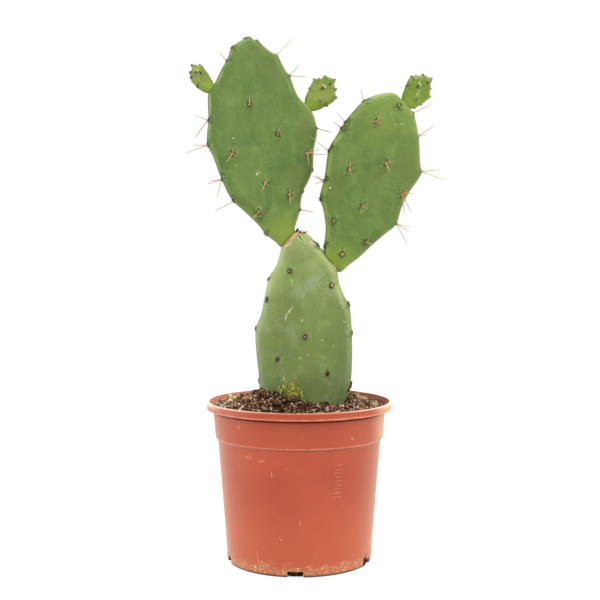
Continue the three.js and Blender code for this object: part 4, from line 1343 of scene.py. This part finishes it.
hair = stained("glochid", [(0, 74, 56, 28), (1, 196, 152, 104)],
               lambda wire: wire.trait("reach"), Specular_IOR_Level=0.3, Roughness=0.5)
spine, spine_wire, spine_shader = material_of("spine", Specular_IOR_Level=0.4, Roughness=0.38)
spine_tone = spine_wire.trait("tone")
spine_colour = (spine_wire.trait("reach") + (spine_tone - 0.5) * 0.35).ramp(
    (0, 150, 92, 54), (0.1, 178, 118, 76), (0.35, 188, 146, 108), (0.7, 150, 126, 106), (1, 108, 98, 94))
feed(spine_shader, Base_Color=spine_colour.tint(paint(186, 176, 112), spine_tone.rise(0.5, 0.95) * 0.7))
SPINE_RADIUS = 0.46
SPINE_START = 0.4
SPINE_REACH = 0.985
spine_shape = spindle("spine", [0.7, 1.15, 1.2, 1.0, 0.9, 0.8, 0.64, 0.36, 0.04],
                      [-0.06, 0, 0.03, 0.1, 0.3, 0.55, 0.78, 0.93, 1], 8)


def stood(name, slot, shape, finish, points, along, thick, up, tones=None, stretch=1.0):
    """A piece of copies of a shape, one on each point: the vector that it stands along, how thick it
    is, which way is up for it, and its tone."""
    mesh = bpy.data.meshes.new("roots")
    mesh.from_pydata((np.array(points) * MM).tolist(), [], [])
    mark(mesh, "along", np.array(along) * MM)
    mark(mesh, "thick", np.array(thick) * MM)
    mark(mesh, "up", np.broadcast_to(up, (len(points), 3)))
    mark(mesh, "tone", np.random.default_rng(9).uniform(size=len(points)) if tones is None else tones)
    copies = grown(name, mesh, standing, Shape=shape, Stretch=stretch, Finish=finish)
    piece(name, copies, slot)
    return copies


def tufted(name, *rows, stretch, density, lean, seed):
    """The wool of a paddle's areoles, with the glochids that stand in it."""
    pads = stood(f"{name}_wool", "areole_wool", pad_shape, wool, *rows, stretch=stretch)
    hairs = grown(f"{name}_glochids", pads, fuzz, Hair=glochid, Density=density, Lean=lean, Seed=seed,
                  Finish=hair)
    piece(f"{name}_glochids", hairs, "spine")


draw = np.random.default_rng(8)
# Short extra spines of the fullest tufts, as for the others: the areole's place, then each tip.
SHORT_SPINES = {
    "left": [(32.9, 72.9, (6, 4, 5)), (-36.3, 85.2, (1, 5, 4))],
    "right": [
        (-10.6, 135.3, (4.6, 6.4, 4), (-5.5, -2.5, 4), (5.5, -3.5, 4), (0.5, -4.5, 4)),
        (12.7, 103.1, (5.5, 5.5, 4), (-4.6, 0.5, 4)), (-18.2, 85.3, (1.5, -4, 4)),
        (5.5, 58.5, (-1.5, -3.5, 4)), (22.1, 28.9, (0.5, 4.5, 4)),
    ],
}
# How pale and how large the lower paddle's front tufts are, in the order of its areoles.
LOWER_TUFTS = [
    (0.3, 1), (0.55, 1.1), (0.15, 0.9), (0.4, 0.95), (0, 0.9), (-0.1, 0.95), (0.65, 1), (0.1, 1.1),
    (0.2, 1.5), (0.25, 1.1), (0.4, 1), (0.4, 0.9), (0.2, 0.8),
]
for name, paddle, wool_size in (("lower", lower, 1.15), ("left", left, 1.0), ("right", right, 1.0)):
    seats, outs, sizes, tones = [], [], [], []
    roots, reaches, widths = [], [], []
    for side, areoles in (*paddle.areoles.items(), (-1, SHORT_SPINES.get(name, []))):
        for x, z, *spines in areoles:
            point, out = paddle.seat(x, z, side)
            seats.append(paddle.world(point))
            outs.append(paddle.world(out, True) * WOOL_HEIGHT * wool_size * draw.uniform(0.8, 1.25))
            if side < 0 and name == "lower":
                tone, size = LOWER_TUFTS[len(sizes)]
            else:
                tone, size = draw.uniform(0.5, 1.0), draw.uniform(0.85, 1.15)
            sizes.append(WOOL_RADIUS * wool_size * size)
            tones.append(tone)
            for dx, dz, rise in spines:
                roots.append(paddle.world(point + out * SPINE_START))
                reach = np.array([dx, side * rise, dz]) * SPINE_REACH - out * SPINE_START
                reaches.append(paddle.world(reach, True))
                widths.append(SPINE_RADIUS * draw.uniform(0.85, 1.1))
    upward = paddle.world((0.2, 0, 1), True)
    tufted(name, seats, outs, sizes, upward, tones, stretch=1.5, density=2.6e6, lean=1.0, seed=4)
    if roots:
        stood(f"{name}_spines", "spine", spine_shape, spine, roots, reaches, widths, upward)

# The young paddles' areoles are small dots. Those on the edge each still bear a leaf of about 1 mm,
# one in the middle of each face is wide, and those between two heights are paler.
LEAF_LENGTH = 1.9
LEAF_RADIUS = 0.85
WIDE_TUFTS = [(-2, 17), (0.3, 22.1), (-4.4, 19.9)]
PALE_FROM = 10
PALE_TO = 12
leaf_shape = spindle("young_leaf", [0.8, 1, 1.05, 0.9, 0.62, 0.3, 0.05],
                     [-0.3, 0, 0.2, 0.45, 0.7, 0.9, 1], 8, 0.00025)
leaf = stained("young_leaf", [(0.2, 92, 104, 40), (0.5, 78, 60, 42), (1, 62, 38, 38)],
               lambda wire: wire.trait("reach") + wire.trait("tone") * 0.4,
               Specular_IOR_Level=0.35, Roughness=0.45)
for name, (young, _) in YOUNG_PADDLES.items():
    seats, outs, pad_sizes, tones = [], [], [], []
    leaf_seats, tips, leaf_sizes = [], [], []
    for side in (-1, 1):
        for x, z, *_ in young.areoles[side]:
            point, out = young.seat(x, z, side)
            seats.append(young.world(point))
            outs.append(young.world(out, True) * 0.5)
            pad_sizes.append(1.2 if (x, z) in WIDE_TUFTS else draw.uniform(0.7, 0.95))
            tones.append(0.5 if PALE_FROM < z < PALE_TO else draw.uniform(-0.15, 0.3))
            if young.nearest(x, z)[0][0] < EDGE_REACH:
                leaf_seats.append(seats[-1])
                tip = out * LEAF_LENGTH * draw.uniform(0.4, 0.7) + (0, 0, 0.3)
                tips.append(young.world(tip, True))
                leaf_sizes.append(LEAF_RADIUS * draw.uniform(0.8, 1.1))
    upward = young.world((0.2, 0, 1), True)
    tufted(f"young_{name}", seats, outs, pad_sizes, upward, tones,
           stretch=1.2, density=4e6, lean=0.6, seed=6)
    stood(f"young_{name}_leaves", "young_skin", leaf_shape, leaf, leaf_seats, tips, leaf_sizes, upward)

# The scars: thin raised lines and specks of pale cork where the skin was scratched or stung, each
# laid on the face of its paddle. A few pale lines along the upper paddles' margins are painted highlight
# on the margin's ridge, laid the same way. Across a scar, its points are (share of its width, how proud).
SCAR_SECTION = [(-0.6, -0.12), (-0.35, 0.16), (0, 0.2), (0.35, 0.16), (0.6, -0.12)]
scar_and_highlight = stained("scar_and_highlight", [(0.2, 98, 120, 58), (0.5, 132, 152, 92), (0.85, 212, 218, 178)],
               lambda wire: wire.noise(wire.place(), 500, 3) + (wire.trait("tone") - 0.5) * 0.5,
               Specular_IOR_Level=0.2, Roughness=0.7)


def scar_line(paddle, line, width):
    """A tapered ridge along a line on the front of a paddle."""
    line = np.asarray(line, float)
    run = np.concatenate([[0], np.cumsum(np.linalg.norm(np.diff(line, axis=0), axis=1))])
    at = np.linspace(0, run[-1], max(5, round(run[-1] / 0.7)))
    x, z = np.interp(at, run, line[:, 0]), np.interp(at, run, line[:, 1])
    wobble = [noise.noise(Vector((a, b, 0)) * 0.9) * width * 0.6 for a, b in zip(x, z)]
    x = x + wobble
    share = at / run[-1]
    spread = width * np.sqrt(np.clip(1 - (2 * share - 1) ** 4, 0.05, 1)) * (0.8 + np.array(wobble))
    ahead = np.stack([np.gradient(x), np.gradient(z)], 1)
    ahead /= np.linalg.norm(ahead, axis=1)[:, None]
    rows = []
    for offset, proud in SCAR_SECTION:
        px = x - ahead[:, 1] * spread * offset
        pz = z + ahead[:, 0] * spread * offset
        rows.append(np.stack([px, paddle.height(px, pz, -1)[0] - proud, pz], 1))
    return paddle.world(np.stack(rows, 1).reshape(-1, 3)), sheet_faces(len(x), len(SCAR_SECTION))


# Each scar is its width, how pale it is, and its line of (x, z).
LOWER_SCARS = [
    (1.1, 0.9, (-7.5, 93), (-10.2, 89.8), (-12.9, 86.3), (-14.4, 82.8), (-15, 79.5)),
    (1.1, 0.8, (0.1, 78.5), (1.7, 82)), (1.3, 0.8, (19.2, 62.8), (20.6, 61.8)),
    (1.0, 0.9, (30, 56.2), (30.2, 58.4)), (1.3, 0.9, (6.2, 49.2), (7, 48.2)),
    (1.4, 0.9, (-1.4, 46), (-0.2, 45.2)), (0.8, 0.6, (0.6, 40.6), (-1.6, 36)),
    (0.9, 0.6, (38.4, 79.4), (42, 78.8)), (2.6, 0.3, (-9, 118.6), (-8, 113.6)),
    (1.1, 0.7, (-9.6, 117.6), (-7.2, 115.2)), (1.1, 0.6, (-8, 119), (-6.6, 117)),
    (0.6, 0.7, (-11, 120.2), (-9.5, 118.2)),
    (0.8, 0.3, (14, 112.6), (21.4, 112.4)), (0.8, 0.6, (35, 99), (37.4, 94.6), (39.2, 90.8)),
    (0.9, 0.8, (-4.1, 157.8), (-2, 154.6), (0.8, 152.6)),
    (0.8, 0.8, (-1.2, 157.4), (1.8, 155.4), (3.2, 152.8)),
    (0.7, 0.6, (2.6, 152.2), (5.4, 149.6)), (0.6, 0.4, (-11.2, 128.9), (-11.6, 127.3)),
    (0.7, 0.4, (22.4, 10), (25.4, 10.4)),
]
# On the left paddle the last two lines, along its upper left margin, are painted highlight on its ridge.
LEFT_SCARS = [
    (1.3, 1.0, (-33.2, 99.3), (-32.4, 98.5)), (1.2, 0.9, (-36, 74.5), (-35, 73.7)),
    (0.9, 0.5, (-24.2, 150.5), (-23.6, 149.6)), (1.7, 0.9, (-17.8, 64.2), (-16.6, 61)),
    (1.2, 0.85, (-15.6, 64.6), (-14.4, 62.6)), (0.9, 0.6, (-16.4, 66), (-14.8, 65.6)),
    (0.8, 0.7, (13.6, 103), (14, 102)), (1.0, 0.7, (-28, 160.7), (-32.5, 155.3), (-36.3, 150.1)),
    (0.7, 0.3, (-43.6, 144.3), (-46.1, 132.7), (-48, 123)),
]
# On the right paddle the lines from (-26.2, 147.8) on, along its top and left margin, are painted
# highlight.
RIGHT_SCARS = [
    (1.8, 1.0, (-29.5, 63.6), (-28.5, 63.2)),
    (2.0, 0.25, (-0.3, 149.4), (0, 145.6), (1.3, 143.2), (4.4, 141.4)),
    (2.0, 0.4, (4.6, 140), (8, 138.6), (10.5, 139.2)), (1.2, 0.45, (11, 140.4), (13, 142), (16.3, 142.9)),
    (1.0, 0.15, (6.2, 149), (9.5, 146.4), (9.8, 143.6)), (1.4, 0.4, (-26.2, 147.8), (-20.8, 151)),
    (1.0, 0.5, (-18.4, 153), (-13.6, 156.4), (-7, 159)), (0.7, 0.3, (-31.8, 133.5), (-33.4, 127.6)),
    (1.0, 0.5, (-35.4, 112.6), (-37.2, 107.6)), (0.7, 0.3, (-37.4, 107), (-39, 102)),
]
YOUNG_SCARS = {
    "left": [(1.2, 0.4, (-5.8, 20.6), (-5, 17)), (1.1, 0.7, (-3.8, 18.9), (-1.4, 19.4))],
    "middle": [
        (1.2, 1.0, (-2, 24.3), (0.3, 25.1), (2.6, 24.5)), (1.2, 0.45, (-7, 24.4), (-3.6, 24.8)),
        (1.1, 0.5, (3.6, 20.6), (4.4, 14.4)), (0.9, 0.3, (0.4, 13), (-1.8, 8.6)),
    ],
    "right": [
        (1.2, 1.0, (-6.9, 22), (-4.6, 23), (-2.3, 22)), (1.4, 0.5, (-1.2, 18.8), (0.6, 15.8), (-0.2, 12.6)),
        (1.1, 0.4, (-9, 23.6), (-6.4, 24.6)),
    ],
}
ALL_SCARS = [("lower", lower, LOWER_SCARS), ("left", left, LEFT_SCARS), ("right", right, RIGHT_SCARS)]
ALL_SCARS += [(f"young_{name}", young, YOUNG_SCARS[name]) for name, (young, _) in YOUNG_PADDLES.items()]
for name, paddle, scars in ALL_SCARS:
    lines = [scar_line(paddle, line, width) for width, _, *line in scars]
    scar_mesh = mesh_of(f"{name}_scars", *joined(lines), scar_and_highlight)
    mark(scar_mesh, "tone", np.repeat([pale for _, pale, *_ in scars], [len(made) for made, _ in lines]))
    piece(f"{name}_scars", scar_mesh, "cork")

# The dried remains on the lower paddle: black and brown shreds of an old bud on its top by the
# joint, and two curled husks at the right of its foot.
husk = stained("husk", [(0.35, 22, 16, 14), (0.5, 66, 34, 24), (0.66, 120, 62, 44)],
               lambda wire: wire.noise(wire.place(), 300, 4), Specular_IOR_Level=0.2, Roughness=0.85)
# Each shred is how far its two ends stand out, and its line of (x, z, radius) on the paddle.
HUSKS = [
    (0.64, 0.88, (-5.2, 162.4, 1.0), (-4.4, 164.4, 1.5), (-3.9, 165.4, 0.5)),
    (0.32, 0.64, (-2.6, 161.5, 0.5), (-1.6, 161.9, 0.9), (-0.6, 161.2, 0.4)),
    (0.36, 0.96, (0.2, 160.6, 0.4), (2.4, 161.6, 0.65), (4.4, 163.2, 0.3)),
    (0.48, 0.36, (-4, 160.4, 0.3), (-2.2, 158.2, 0.35), (-0.4, 155.2, 0.2)),
    (0.28, 0.32, (10.6, 153.6, 0.7), (13.4, 151.4, 1.2), (16.6, 148.2, 0.6)),
    (0.2, 0.24, (17.4, 147.4, 0.3), (20, 144, 0.5), (22.4, 141.4, 0.3)),
    (0.16, 0.64, (42.6, 14.5, 1.0), (44.6, 18.5, 1.9), (46.6, 23.5, 0.7)),
    (0.48, 1.04, (41.6, 13.5, 0.6), (43.8, 17, 1.2), (46.2, 20.5, 0.5)),
]
shreds = []
for low, high, *line in HUSKS:
    knots = np.array(line, float)
    share = np.linspace(0, 1, 9)
    x, z, radius = (np.interp(share, np.linspace(0, 1, len(knots)), knots[:, k]) for k in range(3))
    y = lower.height(x, z, -1)[0] - np.linspace(low, high, len(share))
    radius = radius * [0.8 + 0.5 * noise.noise(Vector((a, b, 5)) * 1.3) for a, b in zip(x, z)]
    shreds.append(tube(lower.world(np.stack([x, y, z], 1)), radius, 7))
piece("dried_husks", mesh_of("dried_husks", *joined(shreds), husk), "cork")

# The moss and the seedling: a tuft of yellow-green moss has grown up against the foot of the lower
# paddle, rusty stalks with lance-shaped leaves, and a two-leaved weed stands in the soil on its left.
MOSS_STALKS = 46
MOSS_LEAVES = 4
stalk_shape = spindle("moss_stalk", [1, 0.9, 0.8, 0.7], [-0.1, 0.3, 0.7, 1], 4)
blade_shape = spindle("moss_leaf", [0.35, 0.85, 1, 0.8, 0.45, 0.05],
                      [0, 0.2, 0.45, 0.7, 0.88, 1], 6, 0.0002)
stalk = stained(
    "moss_stalk", [(0.1, 196, 160, 124), (0.3, 146, 92, 54), (0.6, 150, 122, 52), (0.9, 130, 150, 50)],
    lambda wire: wire.trait("tone") * 0.7 + wire.trait("reach") * 0.3,
    Specular_IOR_Level=0.25, Roughness=0.6)
moss = stained(
    "moss_leaf", [(0.1, 76, 98, 34), (0.3, 136, 156, 46), (0.55, 194, 202, 74), (0.95, 232, 230, 160)],
    lambda wire: wire.trait("tone") * 0.8 + wire.trait("reach") * 0.25,
    Specular_IOR_Level=0.3, Roughness=0.5)
feet, rises, widths, twists = [], [], [], []
leaf_feet, leaf_rises, leaf_widths, leaf_twists = [], [], [], []
for _ in range(MOSS_STALKS):
    across = float(np.clip(draw.normal(-8.5, 5.5), -18, 3))
    y = lower.height(across, 12, -1)[0][0]
    foot = lower.world(np.array([across, y - draw.uniform(0.6, 3.5), 0]))
    foot[2] = soil_height(foot[0], foot[1]) - 0.5
    tall = draw.uniform(0.35, 1) * np.interp(across, [-18, -15, -11, -5, 3], [8, 19, 18, 14, 8])
    rise = np.array([draw.normal(0, 0.22) * tall, draw.uniform(-0.12, 0.06) * tall, tall])
    feet.append(foot)
    rises.append(rise)
    widths.append(draw.uniform(0.14, 0.32))
    twists.append(draw.normal(size=3))
    for _ in range(MOSS_LEAVES):
        leaf_feet.append(foot + rise * draw.uniform(0.35, 1))
        leaf_rises.append(draw.normal(0, 0.55, 3) * (1, 0.6, 0.6) + (0, -0.15, 1))
        leaf_rises[-1] *= draw.uniform(1.6, 4.2) / np.linalg.norm(leaf_rises[-1])
        leaf_widths.append(draw.uniform(0.24, 0.5))
        leaf_twists.append(draw.normal(size=3))
stood("moss_stalks", "moss", stalk_shape, stalk, feet, rises, widths, twists)
stood("moss_leaves", "moss", blade_shape, moss, leaf_feet, leaf_rises, leaf_widths, leaf_twists,
      stretch=0.35)

STEM_SIDES = 6
LEAF_SIDES = 8
SEEDLING = np.array([-61.2, -1, 0])
SEEDLING[2] = soil_height(SEEDLING[0], SEEDLING[1]) + 0.7
crown = SEEDLING + (0.2, 0, 0.9)
share = np.linspace(0, 1, 10)
blade = 1.05 * np.sin(math.pi * share ** 0.8) ** 0.7 + 0.12
parts = [tube([SEEDLING - (0, 0, 2), SEEDLING, crown], [0.6, 0.55, 0.5], STEM_SIDES)]
for aside, high in ((-4, 4.5), (3.8, 2.0)):
    path = [crown + (aside * t, -0.8 * t, high * (1.15 * t - 0.15 * t * t)) for t in share]
    parts.append(tube(path, blade, LEAF_SIDES, flat=0.25, facing=(0, 1, 0)))
sprout = stained("seedling", [(0, 120, 150, 44), (0.2, 196, 204, 108), (0.5, 236, 230, 176)],
                 lambda wire: wire.trait("reach"), Specular_IOR_Level=0.3, Roughness=0.5)
seedling_mesh = mesh_of("seedling", *joined(parts), sprout)
mark(seedling_mesh, "reach", [0] * len(parts[0][0]) + np.repeat(share, LEAF_SIDES).tolist() * 2)
piece("seedling", seedling_mesh, "moss")

# The studio: a white floor that runs into a white surround, five soft lights, and the camera about a
# metre off, level with the top of the lower paddle. Two lights stand in front, upper left and upper
# right, one hangs overhead, one stands low on the left and a warm one on the right.
scene = bpy.context.scene
scene.view_settings.view_transform = "Standard"
world = bpy.data.worlds.new("surround")
world.use_nodes = True
world.node_tree.nodes["Background"].inputs["Color"].default_value = (1, 1, 1, 1)
world.node_tree.nodes["Background"].inputs["Strength"].default_value = 1.0
scene.world = world
FLOOR_HALF = 4000
floor_corners = np.array([(-1, -1, 0), (1, -1, 0), (1, 1, 0), (-1, 1, 0)]) * FLOOR_HALF
floor_mesh = mesh_of("floor", floor_corners, [(0, 1, 2, 3)])
floor_paint, _, floor_shader = material_of(
    "floor", Roughness=0.9, Specular_IOR_Level=0.0, Emission_Strength=0.72)
floor_shader.inputs["Base Color"].default_value = (0.35, 0.35, 0.35, 1)
floor_shader.inputs["Emission Color"].default_value = (1, 1, 1, 1)
floor_mesh.materials.append(floor_paint)
floor = linked("floor", floor_mesh)
WHITE = (1, 1, 1)
WARM = (1, 0.98, 0.84)
LIGHTS_AIM = Vector((0, 0, 0.26))
for name, place, width, power, colour in (
    ("key", (-0.9, -1.3, 1.4), 0.9, 6.6, WHITE), ("fill", (1.0, -1.2, 1.2), 0.9, 5, WHITE),
    ("top", (0.1, 0.1, 1.9), 0.9, 10, WHITE), ("left", (-1.5, 0.1, 0.3), 0.8, 8, WHITE),
    ("right", (1.35, -0.35, 1.0), 0.8, 9, WARM),
):
    lamp = bpy.data.lights.new(name, "AREA")
    lamp.color = colour
    lamp.size = width
    lamp.energy = power
    light = linked(name, lamp)
    light.location = place
    light.rotation_euler = (LIGHTS_AIM - Vector(place)).to_track_quat("-Z", "Y").to_euler()

FRAME_PIXELS = 600
FOCAL_PIXELS = 1155
CAMERA_PITCH = 0.0509
CAMERA_PLACE = (0.0007, -1.060, 0.2935)
lens = bpy.data.cameras.new("camera")
lens.sensor_width = 36
lens.lens = lens.sensor_width * FOCAL_PIXELS / FRAME_PIXELS
camera = linked("camera", lens)
camera.location = CAMERA_PLACE
camera.rotation_euler = (math.pi / 2 - CAMERA_PITCH, 0, 0)
scene.camera = camera
